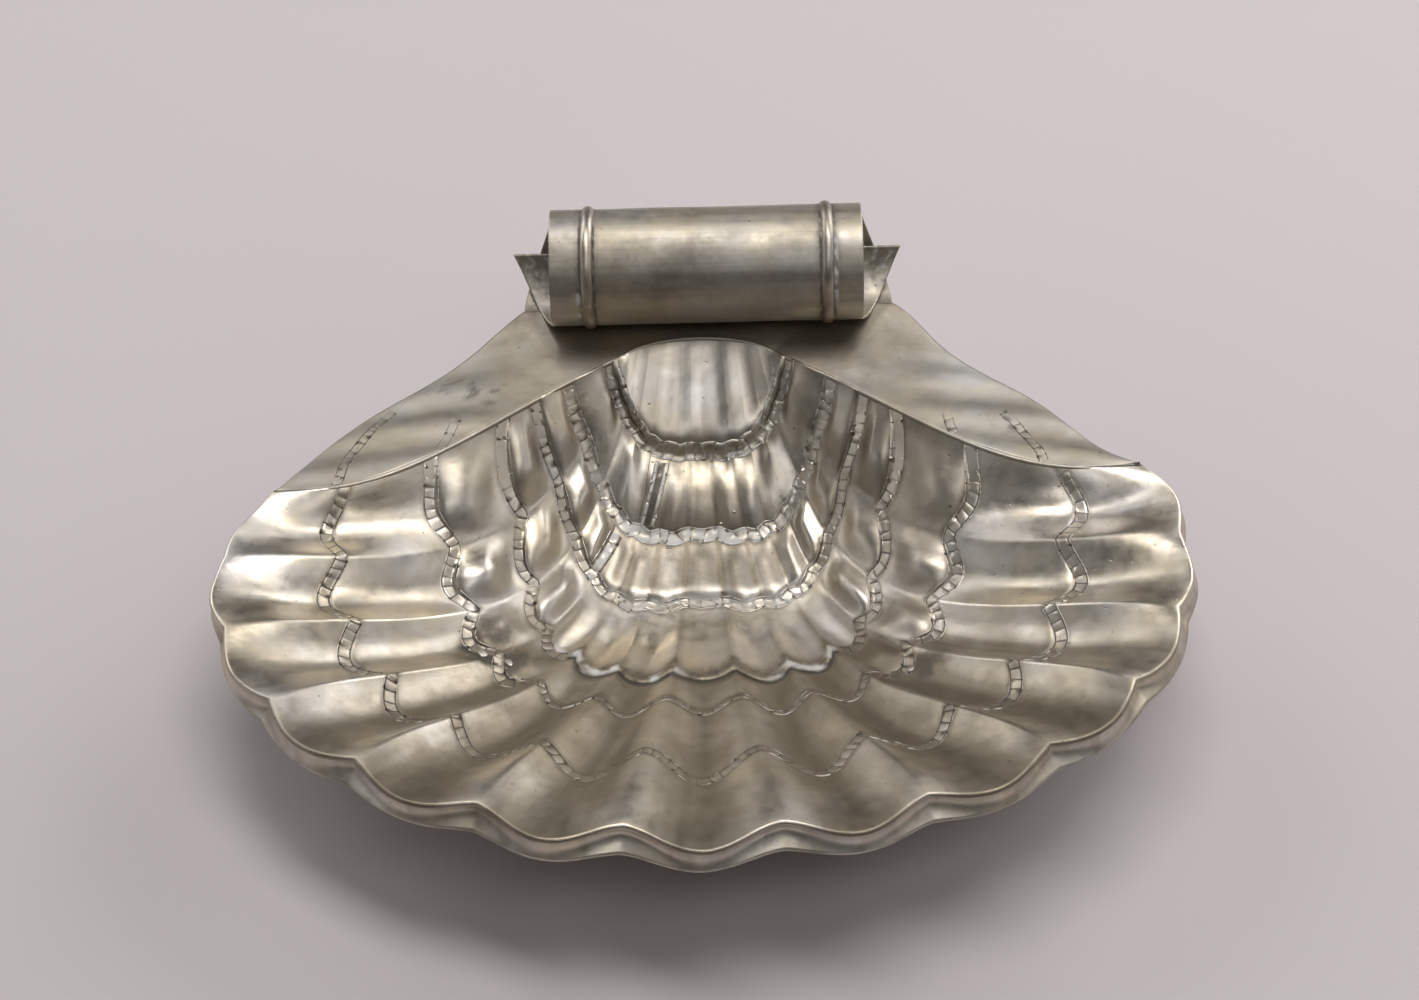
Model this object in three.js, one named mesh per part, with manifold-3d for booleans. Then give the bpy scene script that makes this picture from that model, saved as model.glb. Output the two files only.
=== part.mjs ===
// A shell dish of raised pewter sheet: a ribbed scallop bowl pieced from plates that meet at its
// growth bands, a collar folded back along the crest, and a rolled scroll at the hinge.
// Millimetres, +Z up. The hinge and its scroll lie to +Y, the open front to -Y, and the dish
// stands on Z = 0 with its ribs fanning out from the umbo, at the top of the back wall.

import * as THREE from 'three';
import { mergeVertices } from 'three/addons/utils/BufferGeometryUtils.js';
import Module from 'manifold-3d';

// Sheet and joints
const SHEET = 1.2; // thickness of the raised sheet
const JOINT = 0.3; // gap left at every soldered joint

// Rim, seen from above as an arc of an ellipse
const RIM_HEIGHT = 76;
const RIM_HALF_WIDTH = 219;
const RIM_REACH = 152; // from the centre of the ellipse forward
const RIM_CENTRE_Y = -52;
const RIM_HALF_ANGLE = 110; // degrees from the front round to a wing tip

// Umbo, where the ribs start, a shallow arc high on the back wall
const UMBO_HALF_WIDTH = 37;
const UMBO_Y = 92;
const UMBO_BOW = 7; // how far the ends of the arc come forward
const UMBO_HEIGHT = 81;
const UMBO_DROP = 4; // how far the ends of the arc lie lower

// Hollow of the bowl
const BOWL_DEPTH = 69.5;
const BACK_FULLNESS = 1.1; // exponents of the depth along a rib and across the fan
const FRONT_FULLNESS = 1.75;
const SIDE_FULLNESS = 4.3;
const RIB_SWEEP_FORWARD = 26; // how far the side ribs bow forward and inward on their way out
const RIB_SWEEP_INWARD = 33;
const CREST_HOLLOW = 19.5; // how far the crest bows in between the umbo and a wing tip
const CREST_OGEE = 5; // the double bend on top of that bow

// Lobes between the ribs, one in the middle and the rest shared by the two sides
const SIDE_LOBES = 6;
const MIDDLE_LOBE = 0.08; // half the middle lobe, where each side of the fan is 1
const LOBE_REACH_FRONT = 13; // how far a lobe stands out past its ribs
const LOBE_REACH_WING = 2;
const FLUTE_DEPTH = 10;
const FLUTE_START = 0.5; // where the flutes begin and are deepest, along the ribs
const FLUTE_PEAK = 0.8;
const RIB_SHARPNESS = [0.15, 0.8]; // round ribs in the middle of the fan, creased ones at its edges

// Plates from the umbo out, each ending at a growth band: the band's place along the ribs in
// the middle of the fan and at its edges, how far it waves out over a lobe, how high the lobes
// swell in the middle of the fan and at its edges, and the rib left of the middle where the
// plate is pieced
const PLATES = [
  { name: 'umbo_plate', band: [0.133, 0.035], wave: 0.004, swell: [0.8, 0.8], rows: 3, columns: 4 },
  { name: 'tier_2', band: [0.25, 0.164], wave: 0.01, swell: [2.6, 2.6], rows: 3, seam: 3 },
  { name: 'tier_3', band: [0.374, 0.256], wave: 0.012, swell: [2.4, 2.8], rows: 3, seam: 4 },
  { name: 'tier_4', band: [0.545, 0.34], wave: 0.028, swell: [-1.5, 3], rows: 3 },
  { name: 'tier_5', band: [0.627, 0.545], wave: 0.03, swell: [-1, 4], rows: 2 },
  { name: 'tier_6', band: [0.813, 0.785], wave: 0.033, swell: [0, 1.5], rows: 3 },
  { name: 'rim_plate', band: [1, 1], wave: 0, swell: [0, 0], rows: 4 },
];
const LOBE_COLUMNS = 6; // facets across a lobe, an even number, where a plate has no other

// Border turned down under the rim
const SKIRT_HEIGHT = 10;
const SKIRT_FLARE = 3;

// Collar behind the crest
const NECK_HALF_WIDTH = 88;
const COLLAR_TIP = 6; // width left at a wing tip
const COLLAR_FALL = 10; // how far its outer edge lies below the crest
const COLLAR_BEND = [[-14, 54], [18, -50]]; // pull of the outline at the wing tip and at the neck

// Scroll, a sheet that leaves the neck and is rolled over towards the bowl
const SCROLL_RADIUS = 28;
const SCROLL_SHRINK = 4; // how much tighter the free edge is rolled
const SCROLL_HALF_LENGTH = 76;
const SCROLL_EAR = 21; // how far the free edge runs out past the roll at each end
const SCROLL_TURN = 338; // degrees from the back to the free edge, over the top
const SCROLL_SHIFT = 5; // the roll sits a little right of the middle of the shell
const NECK_REACH = 22; // from the umbo back to the bottom of the roll
const NECK_HEIGHT = 80;

// Half-round wires soldered round the roll
const RING_HALF_SPACING = 58.5;
const RING_WIDTH = 6.5;
const RING_HEIGHT = 2.6;
const RING_START = -20;
const RING_END = 225;

// Foot, an oval ring under the bowl
const FOOT_HALF_WIDTH = 80;
const FOOT_HALF_DEPTH = 58;
const FOOT_CENTRE_Y = -25;
const FOOT_WALL = 1.6;
const FOOT_FLANGE = 5;

const UP = new THREE.Vector3(0, 0, 1);
const radians = THREE.MathUtils.degToRad;
const smooth = THREE.MathUtils.smoothstep;
const mix = THREE.MathUtils.lerp;

function pewter(color) {
  return new THREE.MeshStandardMaterial({ color, roughness: 0.34, metalness: 1 });
}

// Base surface: across runs from -1 to 1 over the fan, along from 0 at the umbo to 1 at the rim

function umboPoint(across) {
  const angle = across * Math.PI / 2;
  const fall = 1 - Math.cos(angle);
  return new THREE.Vector3(
    UMBO_HALF_WIDTH * Math.sin(angle),
    UMBO_Y - UMBO_BOW * fall,
    UMBO_HEIGHT - UMBO_DROP * fall,
  );
}

function rimPoint(across) {
  const angle = radians(RIM_HALF_ANGLE) * across;
  return new THREE.Vector3(
    RIM_HALF_WIDTH * Math.sin(angle),
    RIM_CENTRE_Y - RIM_REACH * Math.cos(angle),
    RIM_HEIGHT,
  );
}

function depthProfile(along) {
  const deepest = BACK_FULLNESS / (BACK_FULLNESS + FRONT_FULLNESS);
  const peak = deepest ** BACK_FULLNESS * (1 - deepest) ** FRONT_FULLNESS;
  const place = THREE.MathUtils.clamp(along, 0, 1);
  return place ** BACK_FULLNESS * (1 - place) ** FRONT_FULLNESS / peak;
}

function basePoint(across, along) {
  const side = Math.abs(across);
  const point = umboPoint(across).lerp(rimPoint(across), along);
  const sweep = 2 * side * (1 - side ** 3) * Math.sin(Math.PI * along);
  const bow = CREST_OGEE * Math.sin(2 * Math.PI * along) - CREST_HOLLOW * Math.sin(Math.PI * along);
  point.x -= Math.sign(across) * RIB_SWEEP_INWARD * sweep;
  point.y += side ** 4 * bow - RIB_SWEEP_FORWARD * sweep;
  point.z -= BOWL_DEPTH * (1 - side ** SIDE_FULLNESS) * depthProfile(along);
  return point;
}

// The direction of the sheet's thickness, square to the base surface and upright at the rim
function baseNormal(across, along) {
  const step = 0.002;
  const left = basePoint(Math.max(across - step, -1), along);
  const right = basePoint(Math.min(across + step, 1), along);
  const back = basePoint(across, Math.max(along - step, 0));
  const front = basePoint(across, Math.min(along + step, 1));
  const normal = front.sub(back).cross(right.sub(left)).normalize();
  return normal.lerp(UP, along ** 6).normalize();
}

// Lobes and flutes

const lobeShare = (1 - MIDDLE_LOBE) / SIDE_LOBES;

// 0 on a rib and 1 in the middle of a lobe
function lobeSwell(across) {
  const side = Math.abs(across);
  const place = side < MIDDLE_LOBE
    ? (side + MIDDLE_LOBE) / (2 * MIDDLE_LOBE)
    : ((side - MIDDLE_LOBE) / lobeShare) % 1;
  const sharpness = mix(RIB_SHARPNESS[0], RIB_SHARPNESS[1], smooth(side, 0.1, 0.5));
  return mix(Math.sin(Math.PI * place) ** 2, 4 * place * (1 - place), sharpness);
}

function bandPlace(band, across) {
  if (band < 0) {
    return 0;
  }
  const { band: [middle, edge], wave } = PLATES[band];
  return mix(middle, edge, across ** 2) + wave * lobeSwell(across);
}

function fluteDepth(along) {
  const rise = smooth(along, FLUTE_START, FLUTE_PEAK);
  const fall = 1 - smooth(along, FLUTE_PEAK, 1);
  return FLUTE_DEPTH * rise * fall;
}

// The inner face of the sheet on one plate, at a share of the way from band to band
function platePoint(plate, across, share) {
  const along = mix(bandPlace(plate - 1, across), bandPlace(plate, across), share);
  const swell = lobeSwell(across);
  const outward = rimPoint(across).sub(umboPoint(across)).setZ(0).normalize();
  const reach = mix(LOBE_REACH_FRONT, LOBE_REACH_WING, Math.abs(across));
  const [middleSwell, edgeSwell] = PLATES[plate].swell;
  const height = mix(middleSwell, edgeSwell, smooth(Math.abs(across), 0.3, 0.6));
  const pillow = height * (1 - Math.abs(2 * share - 1) ** 3);
  const normal = baseNormal(across, along);
  const point = basePoint(across, along);
  point.addScaledVector(outward, reach * swell * along ** 8);
  point.addScaledVector(normal, swell * (pillow - fluteDepth(along)));
  return { point, normal, along };
}

// Closed sheets between two faces, each a grid of points

function closedSheet(columns, rows, front, back) {
  const positions = [];
  const indices = [];
  const width = rows + 1;
  const layer = (columns + 1) * width;
  for (const face of [front, back]) {
    for (let i = 0; i <= columns; i++) {
      for (let j = 0; j <= rows; j++) {
        positions.push(...face(i, j).toArray());
      }
    }
  }
  const quad = (a, b, c, d) => indices.push(a, b, c, a, c, d);
  const at = (i, j) => i * width + j;
  for (let i = 0; i < columns; i++) {
    for (let j = 0; j < rows; j++) {
      quad(at(i, j), at(i, j + 1), at(i + 1, j + 1), at(i + 1, j));
      quad(layer + at(i, j), layer + at(i + 1, j), layer + at(i + 1, j + 1), layer + at(i, j + 1));
    }
    quad(at(i, 0), at(i + 1, 0), layer + at(i + 1, 0), layer + at(i, 0));
    quad(at(i + 1, rows), at(i, rows), layer + at(i, rows), layer + at(i + 1, rows));
  }
  for (let j = 0; j < rows; j++) {
    quad(at(0, j + 1), at(0, j), layer + at(0, j), layer + at(0, j + 1));
    quad(at(columns, j), at(columns, j + 1), layer + at(columns, j + 1), layer + at(columns, j));
  }
  const geometry = new THREE.BufferGeometry();
  geometry.setAttribute('position', new THREE.Float32BufferAttribute(positions, 3));
  geometry.setIndex(indices);
  geometry.computeVertexNormals();
  return geometry;
}

function namedMesh(name, geometry, color) {
  const mesh = new THREE.Mesh(geometry, pewter(color));
  mesh.name = name;
  return mesh;
}

// Places across the fan for the columns of a plate, from one rib to another
function columnPlaces(columns = LOBE_COLUMNS) {
  const side = [0];
  for (let k = 1; k <= columns / 2; k++) {
    side.push(MIDDLE_LOBE * 2 * k / columns);
  }
  for (let k = 1; k <= SIDE_LOBES * columns; k++) {
    side.push(MIDDLE_LOBE + k * lobeShare / columns);
  }
  const left = side.slice(1).reverse().map((place) => -place);
  return [...left, ...side];
}

// One point of a plate, drawn back from its edges by half a joint where it meets its neighbours
function plateGrid(plate, places, seams) {
  const { rows } = PLATES[plate];
  const last = places.length - 1;
  const faces = (i, j) => {
    const { point, normal } = platePoint(plate, places[i], j / rows);
    const inset = new THREE.Vector3();
    const drawBack = (towards, amount) => inset.add(towards.point.clone().sub(point).setLength(amount));
    if (j === 0 && plate > 0) {
      drawBack(platePoint(plate, places[i], 1 / rows), JOINT / 2);
    }
    if (j === rows && plate < PLATES.length - 1) {
      drawBack(platePoint(plate, places[i], 1 - 1 / rows), JOINT / 2);
    }
    if (i === 0 && seams.left) {
      drawBack(platePoint(plate, places[1], j / rows), JOINT / 2);
    }
    if (i === last && seams.right) {
      drawBack(platePoint(plate, places[last - 1], j / rows), JOINT / 2);
    }
    return { point: point.add(inset), normal };
  };
  const inner = (i, j) => faces(i, j).point;
  const outer = (i, j) => {
    const { point, normal } = faces(i, j);
    return point.addScaledVector(normal, -SHEET);
  };
  return closedSheet(last, rows, inner, outer);
}

function bowlPlates() {
  const meshes = [];
  PLATES.forEach(({ name, seam, columns = LOBE_COLUMNS }, plate) => {
    const places = columnPlaces(columns);
    const color = new THREE.Color(0xa9a393).offsetHSL(0, 0, plate % 2 ? -0.03 : 0.02);
    if (seam === undefined) {
      meshes.push(namedMesh(name, plateGrid(plate, places, {}), color));
      return;
    }
    const cut = (SIDE_LOBES - seam + 1) * columns;
    const leftPlaces = places.slice(0, cut + 1);
    const rightPlaces = places.slice(cut);
    meshes.push(namedMesh(`${name}_left`, plateGrid(plate, leftPlaces, { right: true }), color));
    meshes.push(namedMesh(`${name}_right`, plateGrid(plate, rightPlaces, { left: true }), color));
  });
  return meshes;
}

// Outward directions in plan along a line of points, mitred at its corners
function planMitres(points) {
  return points.map((point, i) => {
    const before = points[Math.max(i - 1, 0)];
    const after = points[Math.min(i + 1, points.length - 1)];
    const sides = [];
    if (before !== point) {
      sides.push(point.clone().sub(before));
    }
    if (after !== point) {
      sides.push(after.clone().sub(point));
    }
    const normals = sides.map((side) => new THREE.Vector3(side.y, -side.x, 0).normalize());
    const mitre = normals.reduce((sum, normal) => sum.add(normal), new THREE.Vector3()).normalize();
    return mitre.divideScalar(mitre.dot(normals[0]));
  });
}

function rimSkirt() {
  const rim = columnPlaces().map((place) => platePoint(PLATES.length - 1, place, 1).point);
  const mitres = planMitres(rim);
  const rows = 2;
  const face = (clearance) => (i, j) => {
    const drop = j / rows;
    const offset = clearance + SKIRT_FLARE * drop ** 2;
    return rim[i].clone().addScaledVector(mitres[i], offset).addScaledVector(UP, -SKIRT_HEIGHT * drop);
  };
  return namedMesh('rim_skirt', closedSheet(rim.length - 1, rows, face(JOINT + SHEET), face(JOINT)), 0x9c9686);
}

// Collar between the crest and its own outline

function crestLine(sideColumns, middleColumns) {
  const line = [];
  for (let i = 0; i < sideColumns; i++) {
    line.push(basePoint(-1, 1 - i / sideColumns));
  }
  for (let i = 0; i <= middleColumns; i++) {
    line.push(umboPoint(2 * i / middleColumns - 1));
  }
  for (let i = 1; i <= sideColumns; i++) {
    line.push(basePoint(1, i / sideColumns));
  }
  return line;
}

// Outline of the collar on the right: straight along the neck, then a double curve to the wing tip
function collarOutline(sideColumns, middleColumns) {
  const tip = basePoint(1, 1);
  const rimEnd = tip.clone().sub(basePoint(0.98, 1)).setLength(COLLAR_TIP);
  const start = new THREE.Vector3(tip.x + rimEnd.x, tip.y + rimEnd.y, tip.z);
  const end = new THREE.Vector3(NECK_HALF_WIDTH, UMBO_Y + NECK_REACH - JOINT, NECK_HEIGHT + SHEET);
  const [tipPull, neckPull] = COLLAR_BEND;
  const bend = new THREE.CubicBezierCurve3(
    start,
    start.clone().add(new THREE.Vector3(tipPull[0], tipPull[1], -COLLAR_FALL)),
    end.clone().add(new THREE.Vector3(neckPull[0], neckPull[1], -COLLAR_FALL)),
    end,
  );
  const total = 2 * sideColumns + middleColumns;
  const neckColumns = Math.round(middleColumns * 0.75);
  const half = total / 2;
  const line = [];
  for (let i = 0; i <= half; i++) {
    if (i <= neckColumns) {
      line.push(new THREE.Vector3(NECK_HALF_WIDTH * i / neckColumns, end.y, end.z));
    } else {
      line.push(bend.getPoint(1 - (i - neckColumns) / (half - neckColumns)));
    }
  }
  const left = line.slice(1).reverse().map((point) => new THREE.Vector3(-point.x, point.y, point.z));
  return [...left, ...line];
}

function collarPlate() {
  const sideColumns = 18;
  const middleColumns = 12;
  const rows = 4;
  const crest = crestLine(sideColumns, middleColumns);
  const mitres = planMitres(crest).map((mitre) => mitre.negate());
  const inner = crest.map((point, i) => point.clone().addScaledVector(mitres[i], SHEET + JOINT));
  const outer = collarOutline(sideColumns, middleColumns);
  outer.forEach((point) => {
    point.x += SCROLL_SHIFT * smooth(point.y, UMBO_Y - NECK_REACH, UMBO_Y + NECK_REACH);
  });
  const top = (i, j) => inner[i].clone().lerp(outer[i], j / rows);
  const bottom = (i, j) => top(i, j).addScaledVector(UP, -SHEET);
  return namedMesh('collar_plate', closedSheet(crest.length - 1, rows, bottom, top), 0xa49e8f);
}

// Scroll, drawn about its own axis along X: angle 0 at the back, 90 at the top, 180 at the front

function rollRadius(angle) {
  return SCROLL_RADIUS - SCROLL_SHRINK * THREE.MathUtils.clamp((angle - 180) / (SCROLL_TURN - 180), 0, 1);
}

function rollHalfLength(angle) {
  const neck = (NECK_HALF_WIDTH - SCROLL_HALF_LENGTH) * (1 - smooth(angle, -90, 40));
  const ear = SCROLL_EAR * THREE.MathUtils.clamp((angle - 225) / (SCROLL_TURN - 225), 0, 1);
  return SCROLL_HALF_LENGTH + neck + ear;
}

function rollPoint(angle, radius, x) {
  return new THREE.Vector3(x, radius * Math.cos(radians(angle)), radius * Math.sin(radians(angle)));
}

function scrollRoll() {
  const columns = 46;
  const rows = 2;
  const face = (inset) => (i, j) => {
    const angle = mix(-90, SCROLL_TURN, i / columns);
    return rollPoint(angle, rollRadius(angle) - inset, rollHalfLength(angle) * (2 * j / rows - 1));
  };
  return namedMesh('scroll_roll', closedSheet(columns, rows, face(SHEET), face(0)), 0xa49e8f);
}

class RollCurve extends THREE.Curve {
  constructor(x, clearance) {
    super();
    this.x = x;
    this.clearance = clearance;
  }

  getPoint(share, target = new THREE.Vector3()) {
    const angle = mix(RING_START, RING_END, share);
    return target.copy(rollPoint(angle, rollRadius(angle) + this.clearance, this.x));
  }
}

function scrollRing(name, x) {
  const wire = new THREE.Shape();
  wire.absellipse(0, 0, RING_WIDTH / 2, RING_HEIGHT / 2, 0, 2 * Math.PI);
  const curve = new RollCurve(x, JOINT + RING_HEIGHT / 2);
  const geometry = new THREE.ExtrudeGeometry(wire, {
    steps: 26,
    curveSegments: 5,
    bevelEnabled: false,
    extrudePath: curve,
  });
  return namedMesh(name, geometry, 0x989282);
}

// Foot, a flanged oval ring whose top is cut to the underside of the bowl

function toManifold(wasm, geometry) {
  const bare = geometry.clone();
  bare.deleteAttribute('normal');
  bare.deleteAttribute('uv');
  const merged = mergeVertices(bare, 1e-4);
  const mesh = new wasm.Mesh({
    numProp: 3,
    vertProperties: new Float32Array(merged.attributes.position.array),
    triVerts: new Uint32Array(merged.index.array),
  });
  return new wasm.Manifold(mesh);
}

function fromManifold(solid) {
  const mesh = solid.getMesh();
  const geometry = new THREE.BufferGeometry();
  geometry.setAttribute('position', new THREE.Float32BufferAttribute(mesh.vertProperties, 3));
  geometry.setIndex(Array.from(mesh.triVerts));
  geometry.computeVertexNormals();
  return geometry;
}

function bowlShadow() {
  const places = columnPlaces();
  const rows = [];
  PLATES.forEach((plate, index) => {
    for (let j = index ? 1 : 0; j <= plate.rows; j++) {
      rows.push({ index, share: j / plate.rows });
    }
  });
  const underside = (i, j) => {
    const { point, normal } = platePoint(rows[j].index, places[i], rows[j].share);
    return point.addScaledVector(normal, -SHEET - JOINT);
  };
  const lid = (i, j) => underside(i, j).setZ(RIM_HEIGHT + UMBO_HEIGHT);
  return closedSheet(places.length - 1, rows.length - 1, lid, underside);
}

async function footRing() {
  const wasm = await Module();
  wasm.setup();
  const outer = FOOT_HALF_WIDTH;
  const profile = [
    [outer - FOOT_FLANGE, 0],
    [outer, 0],
    [outer, FOOT_WALL],
    [outer - FOOT_FLANGE + FOOT_WALL, FOOT_WALL],
    [outer - FOOT_FLANGE + FOOT_WALL, RIM_HEIGHT],
    [outer - FOOT_FLANGE, RIM_HEIGHT],
    [outer - FOOT_FLANGE, 0],
  ].map(([radius, height]) => new THREE.Vector2(radius, height));
  const ring = new THREE.LatheGeometry(profile, 48);
  ring.rotateX(Math.PI / 2);
  ring.scale(1, FOOT_HALF_DEPTH / FOOT_HALF_WIDTH, 1);
  ring.translate(0, FOOT_CENTRE_Y, 0);
  const cut = toManifold(wasm, ring).subtract(toManifold(wasm, bowlShadow()));
  return namedMesh('foot_ring', fromManifold(cut), 0x958f80);
}

const dish = new THREE.Group();
dish.add(...bowlPlates(), rimSkirt(), collarPlate(), await footRing());

const scroll = new THREE.Group();
scroll.position.set(SCROLL_SHIFT, UMBO_Y + NECK_REACH, NECK_HEIGHT + SCROLL_RADIUS);
scroll.add(
  scrollRoll(),
  scrollRing('scroll_ring_left', -RING_HALF_SPACING),
  scrollRing('scroll_ring_right', RING_HALF_SPACING),
);
dish.add(scroll);

// The origin lies on the table under the middle of the whole dish
const middle = new THREE.Box3().setFromObject(dish, true).getCenter(new THREE.Vector3());
dish.position.set(-middle.x, -middle.y, 0);

export default dish;
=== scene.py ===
import math

import bmesh
import bpy
import numpy as np
from mathutils import Matrix, Vector, noise


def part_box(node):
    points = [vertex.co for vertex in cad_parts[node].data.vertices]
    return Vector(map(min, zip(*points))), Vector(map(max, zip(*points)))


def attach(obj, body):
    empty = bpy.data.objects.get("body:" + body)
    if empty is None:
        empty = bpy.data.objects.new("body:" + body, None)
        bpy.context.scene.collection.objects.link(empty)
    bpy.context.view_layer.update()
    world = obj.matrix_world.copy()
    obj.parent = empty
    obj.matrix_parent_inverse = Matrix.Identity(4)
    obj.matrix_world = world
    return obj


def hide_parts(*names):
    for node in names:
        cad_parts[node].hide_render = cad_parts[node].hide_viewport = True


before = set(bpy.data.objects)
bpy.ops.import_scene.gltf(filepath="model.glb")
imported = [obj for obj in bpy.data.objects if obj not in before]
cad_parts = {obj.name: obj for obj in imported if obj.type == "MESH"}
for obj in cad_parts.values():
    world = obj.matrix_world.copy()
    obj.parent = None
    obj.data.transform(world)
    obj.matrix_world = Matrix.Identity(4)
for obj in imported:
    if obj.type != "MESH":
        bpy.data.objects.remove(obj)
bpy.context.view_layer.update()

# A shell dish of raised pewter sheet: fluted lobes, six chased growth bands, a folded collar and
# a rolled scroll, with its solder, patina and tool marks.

# Sizes, in metres

foot_low, foot_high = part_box("foot_ring")
BACK = (foot_low.y + foot_high.y) / 2 + 0.025  # the fan's own origin, in front of the umbo

SHEET = 0.0012
RIM_HEIGHT = 0.076
RIM_HALF_WIDTH = 0.219
RIM_REACH = 0.152
RIM_CENTRE_Y = BACK - 0.052
RIM_HALF_ANGLE = math.radians(110)
RIM_ROLL = 0.0016
RIM_WAVER = 0.0004  # how far the rim rises and falls
RIM_WAVES = [(1.0, 17, 1.0), (0.7, 41, 0.0), (0.4, 83, 2.0)]  # share, number and shift of its waves

UMBO_HALF_WIDTH = 0.037
UMBO_Y = BACK + 0.092
UMBO_BOW = 0.007
UMBO_HEIGHT = 0.081
UMBO_DROP = 0.004
UMBO_ANGLE = math.radians(66)  # half the arc of the crest over the umbo
UMBO_BULGE = 0.0088

BOWL_DEPTH = 0.0695
# Exponents of the fall of the bowl from the umbo, from the rim and from the wings
BACK_FULLNESS = 1.1
FRONT_FULLNESS = 1.75
SIDE_FULLNESS = 4.3
SWEEP_FORWARD = 0.026  # how far the ribs bow forward and inward on their way to the rim
SWEEP_INWARD = 0.033
MIDDLE_SOFTNESS = 0.05
CREST_HOLLOW = 0.0195  # how far the crest bows and waves on its way to the wing tips
CREST_OGEE = 0.005
# The left wing is rounded off at its tip, and the right one stands out beside its tip: where, and
# how far that place moves to the right and back
WING_TIP = dict(start=0.82, move=(0.006, -0.003))
WING_SHOULDER = dict(middle=0.93, width=0.07, move=(0.0036, 0.004))

SIDE_LOBES = 6
MIDDLE_LOBE = 0.08
LOBE_SHARE = (1 - MIDDLE_LOBE) / SIDE_LOBES
REACH_FRONT = 0.013  # how far a lobe reaches out past the ribs beside it
REACH_WING = 0.002
FLUTE_DEPTH = 0.0085
FLUTE_START = 0.5  # where along the ribs the flutes start, and where they are deepest
FLUTE_PEAK = 0.8
RIB_SHARPNESS = (0.15, 0.8)  # round ribs in the middle of the fan, creased ones further out
RIB_SOFTENING = 0.45  # how much rounder the ribs are again on the wings

STRIP = 0.0027  # half the width of a growth band
SEAM = 0.0029  # half the width of a solder seam
LADDER = 0.0021  # half the width of the chased lines on the collar
DENTS = 0.00052  # how far the sheet wavers from its true shape
SKIRT_HEIGHT = 0.010
SKIRT_FLARE = [(-0.8, 0.0004), (-0.3, 0.0026)]  # places across, and how far the border flares out
SKIRT_FILL = 0.0045  # how far the border stands out more in the notches between the lobes
SKIRT_RAGGED = 0.0008  # how far its lower edge wavers

NECK_HALF_WIDTH = 0.0920
COLLAR_FALL = 0.010
COLLAR_WAVE = 0.0008
COLLAR_PITCH = 0.026  # from one soft wave of the collar to the next
COLLAR_SWELL = 0.0012
UMBO_SHARE = 0.25  # share of the crest that runs round the umbo
NECK_SHARE = 0.375  # share of the collar's edge that runs along the neck
NECK_GAP = 0.0003  # between the collar's edge and the scroll's sheet
# How the collar's edge leaves each wing tip, how it reaches the neck, and its waves on the way
COLLAR_EDGES = {
    -1.0: dict(leave=(0.0386, 0.0473), arrive=(0.0346, 0.0248), waves=(0.0086, -0.0026)),
    1.0: dict(leave=(0.0482, 0.0267), arrive=(0.0347, 0.0180), waves=(0.0125, -0.0066)),
}
FOLD_RADIUS = 0.0014
SCROLL_RADIUS = 0.028
SCROLL_SHRINK = 0.004
SCROLL_HALF_LENGTH = 0.076
SCROLL_EAR = 0.021
SCROLL_START = -90  # degrees round the roll: 0 at its back, 90 on top and 180 in front
SHRINK_START = 180
EAR_START = 225
SCROLL_END = 338
SCROLL_SHIFT = 0.005
NECK_Y = UMBO_Y + 0.022
NECK_HEIGHT = 0.080
SCROLL_AXIS = np.array([SCROLL_SHIFT, NECK_Y, NECK_HEIGHT + SCROLL_RADIUS])
WIRES = (-0.0578, 0.0588)  # places of the two wires along the scroll
WIRE_SIZE = (0.0066, 0.0029)  # width and height of the half-round section
THREAD_SIZE = (0.0018, 0.0009)
THREAD_AWAY = 0.0060  # from the middle of a wire to the thread beside it

# Growth bands from the umbo out: place along the ribs in the middle of the fan and at its edges,
# how far the band waves out over a lobe, its width, and where across the fan its chasing ends
BANDS = [
    dict(middle=0.133, edge=0.035, wave=0.003, width=1.30, end=1.02),
    dict(middle=0.25, edge=0.164, wave=0.006, width=1.10, end=1.0),
    dict(middle=0.374, edge=0.256, wave=0.008, width=0.88, end=0.97),
    dict(middle=0.545, edge=0.34, wave=0.028, width=0.98, end=0.93),
    dict(middle=0.627, edge=0.545, wave=0.030, width=1.05, end=0.99),
    dict(middle=0.813, edge=0.785, wave=0.033, width=1.05, end=1.1),
]

# Plates from the umbo out: how high the lobes swell in the middle and on the wings, over what
# share of the plate they rise from one band and drop to the next, how sharp the valleys are, the
# darkening in the valleys (patina and painted shade) and in the middle of the plate (patina, and
# painted shade on plates that catch much light), and how dense its brush marks are
UMBO, TIER_2, TIER_3, TIER_4, TIER_5, TIER_6, RIM = range(7)
PLATES = [
    dict(height=(0.0, 0.0), rise=0.5, drop=0.3, valley=0.0, dark=0.0, patina=0.0, brush=0.09),
    dict(height=(0.0008, 0.0019), rise=0.30, drop=0.45, valley=0.05, dark=0.30, patina=0.38, brush=0.11),
    dict(height=(0.0014, 0.0030), rise=0.35, drop=0.42, valley=0.10, dark=0.32, patina=0.55, brush=0.15),
    dict(height=(-0.0016, 0.0045), rise=0.50, drop=0.36, valley=0.1, dark=0.24, patina=0.05, brush=0.20),
    dict(height=(-0.0006, 0.0056), rise=0.62, drop=0.40, valley=0.05, dark=0.20, patina=0.83, brush=0.24),
    dict(height=(-0.0002, 0.0020), rise=0.70, drop=0.25, valley=0.1, dark=0.06, patina=0.92, brush=0.28),
    dict(height=(0.0, 0.0), rise=0.5, drop=0.3, valley=0.0, dark=0.06, patina=0.85, brush=0.30),
]
TIER_2_SWELL = 0.0046
TIER_3_SWELL = 0.0028
LIP_HEIGHT = 0.0012  # the lip is the scalloped lower edge of tier 4
LIP_ROUND = 0.0045

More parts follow.
